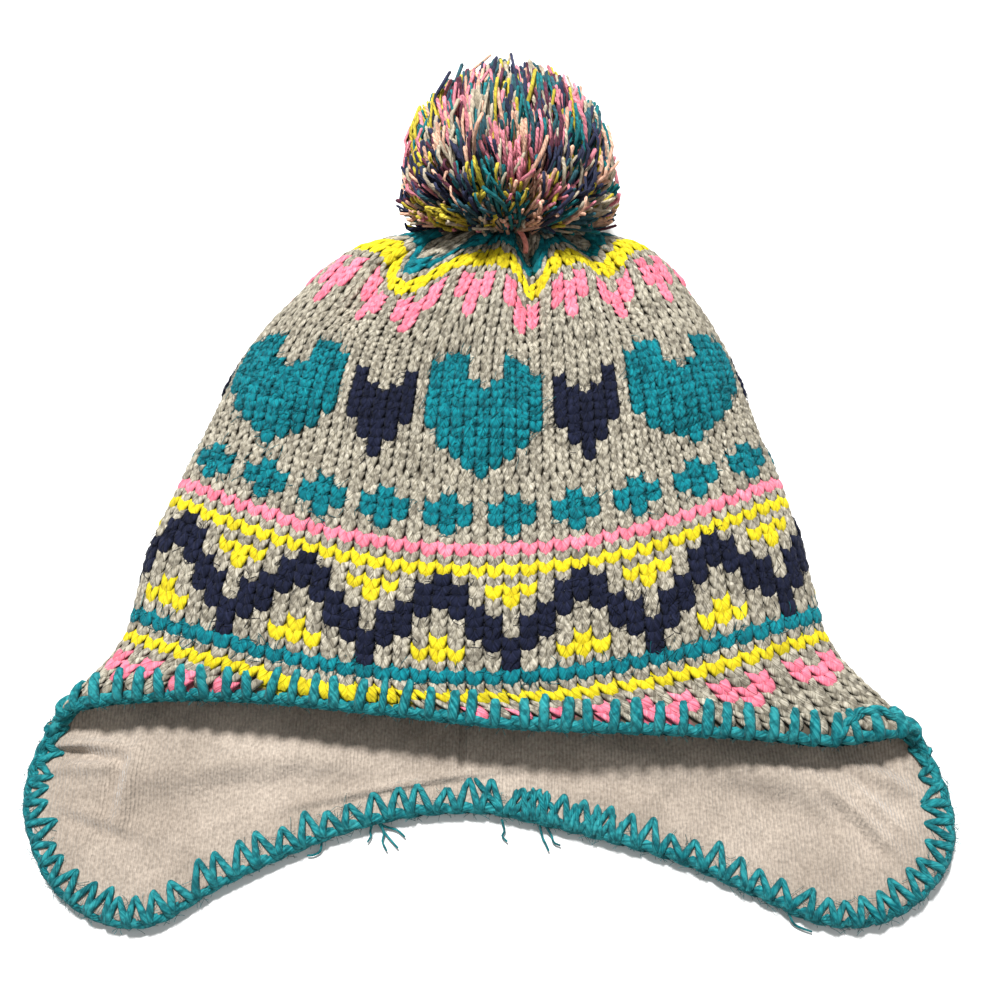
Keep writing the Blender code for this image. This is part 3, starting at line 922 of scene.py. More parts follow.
    def shaded_backing(self) -> bpy.types.Material:
        """Make the material between the stitches, coloured by the chart in darkened colours as painted shade in
        the gaps.
        """
        material, nodes, links, shader = self._start("knit_backing_painted_shade")
        read = nodes.new("ShaderNodeAttribute")
        read.attribute_name = "shaded_yarn_colour"
        grain = self._noise(nodes, links, 900.0)
        shade = self._mix(nodes, links, grain, (0.70, 0.68, 0.66), (1.12, 1.12, 1.12))
        grained = self._mix(nodes, links, 1.0, read.outputs["Color"], shade, "MULTIPLY")
        links.new(grained, shader.inputs["Base Color"])
        shader.inputs["Roughness"].default_value = 0.95
        return material

    def lining(self) -> bpy.types.Material:
        """Make the lining's brushed jersey: fine ribs, soft pile and large soft patches of lighter and darker
        colour.
        """
        material, nodes, links, shader = self._start("lining_jersey_soft")
        place = nodes.new("ShaderNodeTexCoord")
        ribs = nodes.new("ShaderNodeTexWave")
        ribs.wave_type = "BANDS"
        ribs.bands_direction = "X"
        ribs.inputs["Scale"].default_value = 330.0
        ribs.inputs["Distortion"].default_value = 2.2
        ribs.inputs["Detail"].default_value = 2.0
        ribs.inputs["Detail Scale"].default_value = 1.6
        links.new(place.outputs["Object"], ribs.inputs["Vector"])
        pile = nodes.new("ShaderNodeTexNoise")
        pile.inputs["Scale"].default_value = 1150.0
        pile.inputs["Detail"].default_value = 4.0
        links.new(place.outputs["Object"], pile.inputs["Vector"])
        cloud = nodes.new("ShaderNodeTexNoise")
        cloud.inputs["Scale"].default_value = 38.0
        cloud.inputs["Detail"].default_value = 3.0
        links.new(place.outputs["Object"], cloud.inputs["Vector"])
        soft = self._ramp(nodes, links, cloud.outputs["Fac"], 0.35, 0.68)
        first = self._mix(nodes, links, soft, (0.36, 0.30, 0.245), (0.50, 0.425, 0.355))
        fine = self._ramp(nodes, links, pile.outputs["Fac"], 0.30, 0.72)
        second = self._mix(nodes, links, fine, (0.66, 0.64, 0.62), (1.16, 1.15, 1.13))
        third = self._mix(nodes, links, 1.0, first, second, "MULTIPLY")
        ribbed = self._mix(nodes, links, ribs.outputs["Fac"], (0.93, 0.93, 0.93), (1.0, 1.0, 1.0))
        fourth = self._mix(nodes, links, 1.0, third, ribbed, "MULTIPLY")
        links.new(fourth, shader.inputs["Base Color"])
        shader.inputs["Roughness"].default_value = 0.93
        shader.inputs["Sheen Weight"].default_value = 0.45
        shader.inputs["Sheen Roughness"].default_value = 0.5
        height = nodes.new("ShaderNodeMath")
        height.operation = "MULTIPLY_ADD"
        links.new(pile.outputs["Fac"], height.inputs[0])
        height.inputs[1].default_value = 1.3
        links.new(ribs.outputs["Fac"], height.inputs[2])
        bump = nodes.new("ShaderNodeBump")
        bump.inputs["Strength"].default_value = 0.8
        bump.inputs["Distance"].default_value = 0.30 * MM
        links.new(height.outputs[0], bump.inputs["Height"])
        links.new(bump.outputs["Normal"], shader.inputs["Normal"])
        return material

    def floor(self) -> bpy.types.Material:
        """Make the plain pale floor."""
        material, nodes, links, shader = self._start("studio_floor")
        grain = self._noise(nodes, links, 14.0)
        paper = self._mix(nodes, links, grain, (0.85, 0.85, 0.845), (0.87, 0.87, 0.865))
        links.new(paper, shader.inputs["Base Color"])
        shader.inputs["Roughness"].default_value = 0.9
        return material


class KnitBuilder:
    """Makes the stitches and the wall behind them."""

    # Points along a leg: share of the stitch's width, of the course's height, and lift.
    PATH = (
        (0.045, 0.98, -0.10),
        (0.125, 0.52, 0.80),
        (0.220, 0.02, 1.00),
        (0.315, -0.48, 0.66),
        (0.420, -0.98, -0.50),
    )
    THICKNESS = (0.66, 0.98, 1.04, 0.98, 0.70)
    SIDES = 6
    PUFF = 1.7 * MM

    def __init__(self, field: KnitField, makers: MaterialMaker) -> None:
        """Keep the field and the material maker.

        Args:
            field: the mapping of stitches onto the hat.
            makers: the material maker.
        """
        self.field = field
        self.makers = makers
        self.sizes = StitchSizes()
        self.rng = np.random.default_rng(11)

    def _stitches(self) -> dict:
        """List the stitches: angle, course, width in degrees and crowding, by yarn."""
        found = {colour: [] for colour in YarnColour}
        pitch = self.sizes.pitch
        for row in range(ZONES[0].first, LAST_ROW):
            zone = [z for z in ZONES if z.first <= row][-1]
            columns = np.arange(zone.stitches)
            columns = np.where(columns > zone.stitches // 2, columns - zone.stitches, columns)
            angles = stitch_angle(columns.astype(float), zone.stitches, np.float64(zone.crowd))
            after = stitch_angle(columns + 0.5, zone.stitches, np.float64(zone.crowd))
            before = stitch_angle(columns - 0.5, zone.stitches, np.float64(zone.crowd))
            course = row * pitch
            kept = self.field.ends_at(angles) > course + 0.9 * pitch
            for column, angle, width, keep in zip(columns, angles, after - before, kept):
                if keep:
                    colour = charted_colour(row, int(column))
                    puff = self._puff(row, int(column), colour)
                    found[colour].append((angle, course, width, puff))
        return {colour: np.array(rows) for colour, rows in found.items() if rows}

    @staticmethod
    def _puff(row: int, column: int, colour: YarnColour) -> float:
        """How far inside a motif a stitch lies, from 0 to 1."""
        if colour is YarnColour.GREY:
            return 0.0
        near = [(r, c) for r in range(-3, 4) for c in range(-2, 3)]
        same = sum(charted_colour(row + r, column + c) is colour for r, c in near)
        return max(0.0, same / len(near) - 0.30) / 0.70

    def _legs(self, rows: np.ndarray, full: float, plain: bool = False) -> tuple:
        """Vertices, quads, texture map and tones of the stitches' legs, whose low ends the tones darken as
        painted shade.

        Args:
            rows: angle, course, width and puff of each stitch.
            full: how much fuller the yarn is than the grey one.
            plain: whether the legs have fewer faces, as under the hat.

        Returns:
            Vertices, quads, texture coordinates, and tones that hold painted shade at the legs' low ends.
        """
        size = self.sizes
        count = len(rows)
        rng = self.rng
        path = np.array(self.PATH)[::2] if plain else np.array(self.PATH)
        thick = np.array(self.THICKNESS)[::2] if plain else np.array(self.THICKNESS)
        sides = self.SIDES
        turn = np.arange(sides) * 2.0 * math.pi / sides
        jitter = rng.normal(0.0, 1.0, (count, 5))
        pieces = []
        gap_shade_depths = []
        for way in (-1.0, 1.0):
            lean = way * path[:, 0][None, :] + 0.020 * jitter[:, 0:1]
            rise = path[:, 1][None, :] + 0.045 * jitter[:, 1:2] + 0.03 * way * jitter[:, 2:3]
            tall = path[:, 2][None, :] * full * (1.0 + 0.14 * jitter[:, 3:4])
            wide = size.half_leg * full * (1.0 + 0.07 * jitter[:, 4:5]) * thick[None, :]
            slant = -way * 0.42
            off_x = np.cos(turn)[None, None, :] * wide[:, :, None]
            off_y = -np.cos(turn)[None, None, :] * wide[:, :, None] * slant
            off_z = np.sin(turn)[None, None, :] * thick[None, :, None] * 0.62
            x = lean[:, :, None] + off_x
            y = rise[:, :, None] + off_y
            z = tall[:, :, None] + off_z
            angle = rows[:, 0][:, None, None] + x * rows[:, 2][:, None, None]
            course = rows[:, 1][:, None, None] + y * size.pitch
            # How high each vertex stands on its leg, from 0 to 1; the tones below darken the low parts as
            # painted shade.
            gap_shade_depths.append(np.clip((z + 0.45) / 1.25, 0.0, 1.0).reshape(-1))
            puff = self.PUFF * rows[:, 3] * (np.abs(rows[:, 0]) < 105.0)
            lift = z * size.leg_height - size.sink + puff[:, None, None]
            points = self.field.place(angle, course, lift)
            along = np.concatenate([[0.0], np.cumsum(np.hypot(np.diff(path[:, 0]) * 1.6, np.diff(path[:, 1])))])
            along = along * size.pitch
            around = np.abs(np.linspace(-1.0, 1.0, sides, endpoint=False)) * way
            start = rng.uniform(0.0, 0.02, count)
            uv = np.stack(
                np.broadcast_arrays(start[:, None, None] + along[None, :, None], around[None, None, :]),
                axis=-1,
            )
            pieces.append((points.reshape(count, -1, 3), uv.reshape(count, -1, 2)))
        vertices = np.concatenate([pieces[0][0], pieces[1][0]], axis=0).reshape(-1, 3)
        uvs = np.concatenate([pieces[0][1], pieces[1][1]], axis=0).reshape(-1, 2)
        faces = tube_faces(len(path), sides, count * 2)
        per = len(path) * sides
        # Tones: a random tone for each stitch, less painted shade on the legs' low ends, where the gaps between
        # stitches lie; fuller yarns get less.
        tone = np.repeat(np.tile(0.82 + 0.11 * rng.normal(size=count), 2), per)
        tone = np.clip(tone - 0.88 / full**3 * (1.0 - np.concatenate(gap_shade_depths)), 0.0, 1.0)
        return vertices, faces, uvs, tone

    def build_stitches(self) -> None:
        """Make the stitches, a piece for each yarn."""
        for colour, rows in self._stitches().items():
            material = self.makers.yarn(FINISHES[colour])
            groups = [("", rows)]
            if colour is YarnColour.GREY:
                upper = np.abs(rows[:, 0]) < 92.0
                crown = rows[:, 1] < -0.045
                groups = [
                    ("_crown", rows[crown]),
                    ("_upper", rows[upper & ~crown]),
                    ("_lower", rows[~upper & ~crown]),
                ]
            for suffix, chosen in groups:
                plain = suffix == "_lower"
                vertices, faces, uvs, tone = self._legs(chosen, FULLNESS[colour], plain)
                vertices[:, 2] = np.maximum(vertices[:, 2], 0.05 * MM)
                name = "stitches_" + colour.name.lower() + suffix
                thing = mesh_from_arrays(name, vertices, faces, material, uvs, {"tone": tone})
                register(thing, "knit_shell")

    def build_fuzz(self) -> None:
        """Make the loose fibres that stand off the brushed motifs."""
        rng = self.rng
        found = self._stitches()
        for colour, each in ((YarnColour.TEAL, 9), (YarnColour.NAVY, 6)):
            rows = found[colour]
            rows = rows[(np.abs(rows[:, 0]) < 100.0) & (rows[:, 1] < 0.040)]
            rows = np.repeat(rows, each, axis=0)
            count = len(rows)
            share = np.array([0.0, 0.35, 0.7, 1.0])
            height = np.array([0.1, 1.0, 1.0, 0.35])
            start = rng.uniform(-0.5, 0.5, (count, 2))
            way = rng.normal(0.0, 1.0, (count, 2)) * np.array([0.32, 0.75])
            curl = rng.normal(0.0, 0.22, (count, 1)) * np.sin(share * 4.0)[None, :]
            x = start[:, 0:1] + way[:, 0:1] * share + curl
            y = start[:, 1:2] + way[:, 1:2] * share - curl
            angle = rows[:, 0:1] + x * rows[:, 2:3]
            course = rows[:, 1:2] + y * self.sizes.pitch
            lift = self.PUFF * rows[:, 3:4] + (0.35 + rng.uniform(0.25, 0.85, (count, 1)) * height) * MM
            paths = self.field.place(angle, course, lift)
            radii = np.full(paths.shape[:2], 0.10 * MM)
            up = np.broadcast_to(np.array([0.1, 0.2, 1.0]), paths.shape)
            vertices, faces, uvs = sweep(paths, radii, 3, up)
            vertices[:, 2] = np.maximum(vertices[:, 2], 0.0)
            tone = np.repeat(rng.uniform(0.55, 1.0, count), 12)
            material = bpy.data.materials["yarn_" + colour.name.lower()]
            name = "fuzz_" + colour.name.lower()
            thing = mesh_from_arrays(name, vertices, faces, material, uvs, {"tone": tone})
            register(thing, "knit_shell")

    def build_wall(self) -> BVHTree:
        """Make the knitted wall behind the stitches, open at the rim.

        Returns:
            A tree of the wall's outside, for seating other pieces.
        """
        surface = self.field.surface
        angles = np.linspace(-180.0, 180.0, 161)[:-1]
        outer_levels = np.linspace(0.0, 1.0, 91)
        inner_levels = np.linspace(0.10, 1.0, 41)
        depth = 0.75 * MM
        outer = []
        for level in outer_levels:
            ring = surface.base(angles, level, surface.sizes.tucked)
            pressed = np.where(ring[:, 2] < surface.sizes.gap, 0.0, surface.gathered(angles, level))
            moved = depth * surface.squeezed(angles, level) + pressed
            outer.append(ring + surface.inward(angles, level) * moved[:, None])
        inner = [surface.layer(angles, level, 3.0 * MM, 0.0) for level in inner_levels]
        sheet = [np.tile(outer[0].mean(axis=0), (len(angles), 1))] + outer
        sheet = sheet + inner[::-1] + [np.tile(inner[0].mean(axis=0), (len(angles), 1))]
        vertices = np.concatenate(sheet)
        faces = tube_faces(len(sheet), len(angles), 1)
        colours = self._wall_shaded_colours(vertices, len(angles), len(outer) + 1)
        thing = mesh_from_arrays(
            "knit_wall", vertices, faces[:, ::-1], self.makers.shaded_backing(), None, {"shaded_yarn_colour": colours}
        )
        register(thing, "knit_shell")
        skin = np.concatenate(outer)
        quads = tube_faces(len(outer), len(angles), 1)
        return BVHTree.FromPolygons([tuple(p) for p in skin], [tuple(q) for q in quads.tolist()])

    def _wall_shaded_colours(self, vertices: np.ndarray, across: int, rings: int) -> np.ndarray:
        """Colour the wall's vertices like the stitches in front of them, darkened as painted shade between the
        stitches.
        """
        # Painted shade: the wall shows the grey yarn's dark colour and the motifs' colours at 0.55, standing
        # for the shade in the gaps.
        grey = np.array(GREY_YARN.dark) * 1.2
        colours = np.tile(grey, (len(vertices), 1))
        stitches = []
        painted_gap_shades = []
        for colour, rows in self._stitches().items():
            spots = self.field.place(rows[:, 0], rows[:, 1], np.zeros(len(rows)))
            stitches.append(spots)
            shade = grey if colour is YarnColour.GREY else np.array(FINISHES[colour].colour) * 0.55
            painted_gap_shades.append(np.tile(shade, (len(rows), 1)))
        spots = np.concatenate(stitches)
        painted_gap_shades = np.concatenate(painted_gap_shades)
        tree = KDTree(len(spots))
        for index, spot in enumerate(spots):
            tree.insert(spot, index)
        tree.balance()
        for index in range(across * rings):
            colours[index] = painted_gap_shades[tree.find(vertices[index])[1]]
        return colours


class LiningBuilder:
    """Makes the lining with its seam and wrinkles."""

    Wrinkle = namedtuple("Wrinkle", "x y dx dy length width height")
    # Middle, direction and size of each wrinkle in the plane of the floor, in millimetres.
    WRINKLES = (
        Wrinkle(-115, -75.5, 1.0, -0.10, 13, 1.6, 1.9),
        Wrinkle(-114, -78.6, 1.0, -0.16, 12, 1.4, -1.2),
        Wrinkle(-113, -81.5, 1.0, 0.06, 10, 1.6, 1.5),
        Wrinkle(-105, -88.0, 0.1, 1.00, 9, 1.6, -1.6),
        Wrinkle(-102, -87.5, 0.1, 1.00, 10, 2.0, 1.4),
        Wrinkle(-109, -95.5, 1.0, -0.30, 10, 1.6, 1.2),
        Wrinkle(-108, -98.0, 1.0, -0.30, 10, 1.4, -0.9),
        Wrinkle(-82, -82.0, 1.0, 0.12, 24, 4.0, 1.1),
        Wrinkle(-76, -90.0, 1.0, 0.22, 26, 4.5, -0.9),
        Wrinkle(-52, -80.0, 1.0, -0.05, 22, 4.0, 0.9),
        Wrinkle(98, -96.0, 0.7, -0.70, 12, 1.5, 1.7),
        Wrinkle(96, -98.0, 0.7, -0.70, 12, 1.4, -1.2),
        Wrinkle(101, -92.0, 0.7, -0.60, 10, 1.6, 1.2),
        Wrinkle(105, -85.0, 1.0, -0.35, 12, 2.0, 1.3),
        Wrinkle(76, -84.0, 1.0, -0.25, 22, 4.5, 1.2),
        Wrinkle(72, -92.0, 1.0, -0.35, 22, 4.0, -0.8),
        Wrinkle(40, -80.0, 1.0, -0.20, 24, 3.6, 0.9),
        Wrinkle(20, -84.0, 1.0, -0.15, 18, 3.0, -0.7),
        Wrinkle(-11.3, -79.0, 0.02, 1.00, 16, 0.7, -0.9),
        Wrinkle(-9.8, -79.0, 0.02, 1.00, 16, 0.9, 0.5),
        Wrinkle(-13.0, -79.0, 0.02, 1.00, 16, 0.9, 0.5),
        Wrinkle(-27, -86.5, 1.0, 0.17, 24, 0.8, 1.0),
        Wrinkle(-27, -88.6, 1.0, 0.17, 24, 0.9, -0.9),
    )

    DEPTH = 1.75

    def __init__(self, surface: HatSurface, makers: MaterialMaker) -> None:
        """Keep the surface and the material maker."""
        self.surface = surface
        self.makers = makers

    def build(self) -> BVHTree:
        """Make the lining.

        Returns:
            A tree of the lining's visible side.
        """
        surface = self.surface
        lower = np.linspace(95.0, 265.0, 191)
        angles = np.concatenate([lower, np.linspace(265.0, 455.0, 61)[1:-1]])
        levels = np.concatenate([np.linspace(0.17, 0.76, 16), np.linspace(0.78, 1.0, 66)])
        knit, cloth = surface.sizes.knit_wall, surface.sizes.lining_wall
        outer = [surface.layer(angles, level, knit, 1.0) for level in levels]
        inner = []
        for level in levels:
            ring = surface.layer(angles, level, knit + cloth, 1.0)
            inward = surface.inward(angles, level)
            inner.append(ring + inward * self._wrinkled(ring, level)[:, None])
        top = [np.tile(outer[0].mean(axis=0) + Vector((0, 0.0002, 0)), (len(angles), 1))]
        sheet = top + outer + inner[::-1] + [np.tile(inner[0].mean(axis=0), (len(angles), 1))]
        vertices = np.concatenate(sheet)
        faces = tube_faces(len(sheet), len(angles), 1)
        thing = mesh_from_arrays("lining_soft", vertices, faces[:, ::-1], self.makers.lining())
        register(thing, "lining")
        skin = np.concatenate(inner)
        quads = tube_faces(len(inner), len(angles), 1)
        return BVHTree.FromPolygons([tuple(p) for p in skin], [tuple(q) for q in quads.tolist()])

    def _wrinkled(self, points: np.ndarray, level: float) -> np.ndarray:
        """How far the wrinkles lift the lining off the wall."""
        lift = np.zeros(len(points))
        for row in self.WRINKLES:
            away = points[:, :2] / MM - np.array([row.x, row.y])
            size = math.hypot(row.dx, row.dy)
            along = (away[:, 0] * row.dx + away[:, 1] * row.dy) / size / row.length
            across = (away[:, 1] * row.dx - away[:, 0] * row.dy) / size / row.width
            bent = 0.35 * along**2 if row.length > 8 * row.width else 0.15 * along
            lift += self.DEPTH * row.height * MM * np.exp(-(along**2)) * np.exp(-((across + bent) ** 2))
        x, y = points[:, 0], points[:, 1]
        lift += 0.30 * MM * np.sin(x * 310.0 + 40.0 * y) * np.sin(y * 420.0 - 90.0 * x)
        lift += 0.16 * MM * np.sin(x * 760.0 - 210.0 * y + 1.0) * np.sin(y * 900.0 + 160.0 * x)
        lift = np.maximum(lift, -0.95 * MM)
        fade = smooth_step(np.float64(level), 0.78, 0.86) * (1.0 - smooth_step(np.float64(level), 0.97, 1.0))
        return np.where(points[:, 2] < 0.0105, lift, 0.0) * fade


class EdgingBuilder:
    """Makes the blanket-stitched edging round the rim."""

    def __init__(self, surface: HatSurface, makers: MaterialMaker, knit: BVHTree, lining: BVHTree) -> None:
        """Keep the surface and the trees of the knit's and the lining's sides."""
        self.surface = surface
        self.material = makers.yarn(EDGING_YARN)
        self.knit = knit
        self.lining = lining
        self.rng = np.random.default_rng(5)
        fine = np.linspace(0.0, 360.0, 1441)
        line = surface.rim_line(fine)
        steps = np.linalg.norm(np.diff(line, axis=0), axis=1)
        self.length = np.concatenate([[0.0], np.cumsum(steps)])
        self.fine = fine

    def _spine(self, angles: np.ndarray) -> tuple:
        """Middle of the edging, its inward normal, its way out and its thickness."""
        size = self.surface.sizes
        kept = self.surface.squeezed(angles, 1.0)
        thickness = (size.knit_wall + size.lining_wall) * kept + size.gap
        inward, outward = self.surface.rim_frame(angles)
        spine = self.surface.rim_line(angles) - outward * (size.edging_width * 0.5)
        spine = spine + inward * (thickness / 2.0)[:, None]
        return spine, inward, outward, thickness

    def _angles_at(self, lengths: np.ndarray) -> np.ndarray:
        """Angles of places measured along the rim."""
        return np.interp(lengths % self.length[-1], self.length, self.fine)

    def _rope(self) -> tuple:
        """Two plies that twist round each other along the rim."""
        count = 1750
        lengths = np.linspace(0.0, self.length[-1], count)
        angles = self._angles_at(lengths[:-1])
        spine, inward, outward, thickness = self._spine(angles)
        turns = round(self.length[-1] / 0.0125)
        parts = []
        for phase in (0.0, math.pi):
            turn = lengths[:-1] / self.length[-1] * turns * 2.0 * math.pi + phase
            wave = 0.25 * np.sin(lengths[:-1] / 0.0031 + phase)
            path = spine + outward * (np.cos(turn) * 0.50 * MM - 0.05 * MM)[:, None]
            path = path + inward * (np.sin(turn) * (thickness * 0.5 - 1.0 * MM))[:, None]
            radii = (1.55 + 0.20 * wave) * MM
            closed = np.concatenate([path, path[:1]])
            rad = np.concatenate([radii, radii[:1]])
            parts.append((closed, rad))
        paths = np.array([p for p, _ in parts])
        radii = np.array([r for _, r in parts])
        paths[..., 2] = np.maximum(paths[..., 2], 1.0 * MM)
        up = np.broadcast_to(np.array([0.0, 0.02, 1.0]), paths.shape)
        return sweep(paths, radii, 7, up)

    def _seat(self, tree: BVHTree, point: np.ndarray, lift: float, way: np.ndarray) -> np.ndarray:
        """Put a point on a skin, lifted off it."""
        spot, normal, _, _ = tree.find_nearest(Vector(point))
        normal = np.array(normal)
        if normal @ way < 0.0:
            normal = -normal
        return np.array(spot) + normal * lift

    def _spokes(self) -> tuple:
        """Yarns over the edge: spokes on the knit and a zigzag on the lining."""
        pitch = 6.1 * MM
        count = int(self.length[-1] / pitch)
        paths, radii, ups = [], [], []
        for index in range(count):
            at = (index + 0.5) * pitch + self.rng.normal(0.0, 0.35 * MM)
            deep = (7.4 + self.rng.normal(0.0, 0.7)) * MM
            skew = self.rng.normal(0.0, 0.6 * MM)
            full = 1.0 + self.rng.normal(0.0, 0.08)
            under = self._spine(self._angles_at(np.array([at])))[1][0][2] > 0.3
            if under:
                full = 0.55
            paths.append(self._knit_spoke(at, deep, skew))
            radii.append([full * wide for wide in (1.2, 1.40, 1.50, 1.52, 1.50, 1.40, 1.0)])
            inner = min(max(6.2 + self.rng.normal(0.0, 1.1), 4.4), 7.2) * MM
            peak = at + self.rng.normal(0.0, 0.9 * MM)
            for strand in (-1.0, 1.0):
                foot = at + strand * pitch * 0.42
                paths.append(self._lining_leg(foot, peak + strand * 0.15 * MM, inner))
                radii.append([1.15, 1.15, 1.08, 0.96, 0.86, 0.74, 0.50])
        paths = np.array(paths)
        radii = np.array(radii) * MM
        up = np.broadcast_to(np.array([0.0, -0.15, 1.0]), paths.shape)
        return sweep(paths, radii, 6, up, 0.85)

    def _knit_spoke(self, at: float, deep: float, skew: float) -> list:
        """Path of one spoke from the edge up the knitted side."""
        angle = self._angles_at(np.array([at]))
        spine, inward, outward, thickness = self._spine(angle)
        spine, inward, outward, thickness = spine[0], inward[0], outward[0], thickness[0]
        along = np.cross(inward, outward)
        path = [spine + outward * 1.2 * MM, spine + outward * 0.6 * MM - inward * (thickness / 2.0 + 0.2 * MM)]
        for share, lift in ((0.18, 1.35), (0.40, 1.45), (0.65, 1.40), (0.88, 1.05), (1.0, -0.1)):
            spot = spine - inward * (thickness / 2.0) - outward * (deep * share) + along * skew * share
            path.append(self._seat(self.knit, spot, lift * MM, -inward))
        return path

    def _lining_leg(self, at: float, peak: float, deep: float) -> list:
        """Path of one leg of the zigzag over the lining."""
        low = self._angles_at(np.array([at]))
        spine, inward, outward, thickness = self._spine(low)
        spine, inward, outward, thickness = spine[0], inward[0], outward[0], thickness[0]
        high = self._angles_at(np.array([peak]))
        top, top_in, top_out, top_thick = self._spine(high)
        tip = top[0] + top_in[0] * (top_thick[0] / 2.0) - top_out[0] * deep
        foot = spine + inward * (thickness / 2.0)
        path = [spine + outward * 1.0 * MM, spine + outward * 0.3 * MM + inward * (thickness / 2.0 + 0.3 * MM)]
        for share, lift in ((0.22, 0.62), (0.45, 0.60), (0.70, 0.55), (0.92, 0.45), (1.03, -0.25)):
            spot = foot * (1.0 - share) + tip * share
            path.append(self._seat(self.lining, spot, lift * MM, inward))
        return path

    def _tails(self) -> tuple:
        """Loose ends of yarn under the rim."""
        ends = (
            ((-33.1, -96.1), ((-31.5, -98.5), (-29.8, -100.4), (-27.6, -102.7))),
            ((-33.8, -96.0), ((-31.0, -97.2), (-28.0, -98.0), (-25.8, -99.8))),
            ((-34.7, -96.6), ((-35.3, -98.4), (-35.1, -99.6), (-36.0, -101.2))),
            ((-32.4, -96.0), ((-31.6, -99.0), (-31.9, -101.0), (-30.6, -103.4))),
            ((10.8, -97.0), ((11.6, -100.0), (12.4, -101.6), (13.2, -103.4))),
            ((12.6, -97.4), ((14.0, -99.4), (14.6, -101.2), (16.4, -102.0))),
            ((0.5, -95.4), ((1.2, -98.2), (0.6, -99.6), (2.0, -101.0))),
            ((-48.1, -101.0), ((-48.6, -103.4), (-50.2, -104.4), (-52.0, -104.6))),
            ((-115.0, -106.0), ((-117.6, -107.6), (-119.0, -109.2), (-121.4, -109.4))),
            ((76.0, -119.0), ((77.4, -121.6), (79.6, -122.8), (82.0, -123.6))),
        )
        paths = []
        for start, others in ends:
            points = [(*start, 2.4)] + [(x, y, 0.8) for x, y in others]
            points = np.array(points) * MM
            at = np.linspace(0.0, 1.0, len(points))
            fine = np.linspace(0.0, 1.0, 9)
            paths.append(np.stack([through_rows(at, points[:, k], fine) for k in range(3)], axis=1))
        paths = np.array(paths)
        radii = np.tile(np.linspace(0.36, 0.26, 9) * MM, (len(paths), 1))
        up = np.broadcast_to(np.array([0.0, 0.0, 1.0]), paths.shape)
        return sweep(paths, radii, 6, up)

    def _loop(self) -> tuple:
        """The edging's yarn laid over the knit at the right corner, above the last stitches."""
        corners = ((90.0, -77.5), (92.5, -73.0), (96.5, -69.5), (102.5, -68.0), (108.5, -68.6),
                   (113.5, -71.0), (116.5, -75.0))
        at = np.linspace(0.0, 1.0, len(corners))
        fine = np.linspace(0.0, 1.0, 40)
        places = [through_rows(at, [corner[k] for corner in corners], fine) * MM for k in range(2)]
        level = np.full(len(fine), 16.0 * MM)
        middle = np.stack([*places, level], axis=1)
        above = np.array([0.0, 0.2, 1.0])
        seated = np.array([self._seat(self.knit, point, 1.2 * MM, above) for point in middle])
        paths = []
        for phase in (0.0, math.pi):
            turn = fine * 3.0 * 2.0 * math.pi + phase
            side = np.stack([np.zeros(len(fine)), np.cos(turn), np.sin(turn)], axis=1)
            paths.append(seated + side * 0.65 * MM)
        paths = np.array(paths)
        radii = np.full(paths.shape[:2], 1.05 * MM)
        up = np.broadcast_to(np.array([0.0, 0.1, 1.0]), paths.shape)
        return sweep(paths, radii, 8, up)

    def _fan(self) -> tuple:
        """Crowded strands over the middle of the back edge."""
        rng = self.rng
        paths = []
        for index in range(16):
            foot = 178.0 - 1.15 * index + rng.normal(0.0, 0.3)
            low = float(np.interp(foot, self.fine, self.length))
            high = low + rng.normal(0.0, 2.4) * MM
            deep = (3.6 + rng.uniform(0.0, 3.6)) * MM
            paths.append(self._lining_leg(low, high, deep))
        paths = np.array(paths)
        radii = np.tile(np.array([0.9, 0.9, 0.85, 0.8, 0.8, 0.75, 0.5]) * MM, (len(paths), 1))
        up = np.broadcast_to(np.array([0.0, -0.15, 1.0]), paths.shape)
        return sweep(paths, radii, 6, up, 0.85)

    def _loose(self) -> tuple:
        """Fine fibres that stand off the rope all round the rim."""
        rng = self.rng
        count = 2100
        angles = self._angles_at(rng.uniform(0.0, self.length[-1], count))
        spine, inward, outward, thickness = self._spine(angles)
        along = np.cross(inward, outward)
        share = np.array([0.0, 0.35, 0.7, 1.0])[None, :, None]
        spin = rng.uniform(-1.9, 1.9, count)
        away = outward * np.cos(spin)[:, None] + inward * np.sin(spin)[:, None]
        length = rng.uniform(0.4, 2.3, count)[:, None, None] * MM
        sway = rng.normal(0.0, 1.3, count)[:, None, None] * MM
        curl = rng.normal(0.0, 0.5, count)[:, None, None] * MM
        paths = (spine + away * 1.25 * MM)[:, None, :] + away[:, None, :] * length * share
        paths = paths + along[:, None, :] * (sway * share + curl * np.sin(share * 5.0))
        matted = slice(0, count // 4)
        foot = spine[matted] + inward[matted] * (thickness[matted] / 2.0 + 0.9 * MM)[:, None]
        foot = foot - outward[matted] * rng.uniform(-0.5, 5.0, (count // 4, 1)) * MM
        lie = along[matted] * rng.normal(0.0, 2.6, (count // 4, 1))
        lie = lie + outward[matted] * rng.normal(0.0, 2.0, (count // 4, 1))
        bend = outward[matted][:, None, :] * curl[matted] * np.sin(share * 4.0)
        paths[matted] = foot[:, None, :] + lie[:, None, :] * MM * (share - 0.5) + bend
        radii = np.full(paths.shape[:2], 0.07 * MM)
        up = np.broadcast_to(np.array([0.1, 0.2, 1.0]), paths.shape)
        return sweep(paths, radii, 3, up)

    def build(self) -> None:
        """Make the rope, the spokes and the loose ends."""
        parts = {
            "edging_rope": self._rope,
            "edging_spokes": self._spokes,
            "edging_fan": self._fan,
            "edging_loop": self._loop,
            "edging_tails": self._tails,
            "edging_fuzz": self._loose,
        }
        for name, maker in parts.items():
            vertices, faces, uvs = maker()
            vertices[:, 2] = np.maximum(vertices[:, 2], 0.0)
            around = np.repeat(self.rng.normal(0.0, 0.09, len(vertices) // 3 + 1), 3)[: len(vertices)]
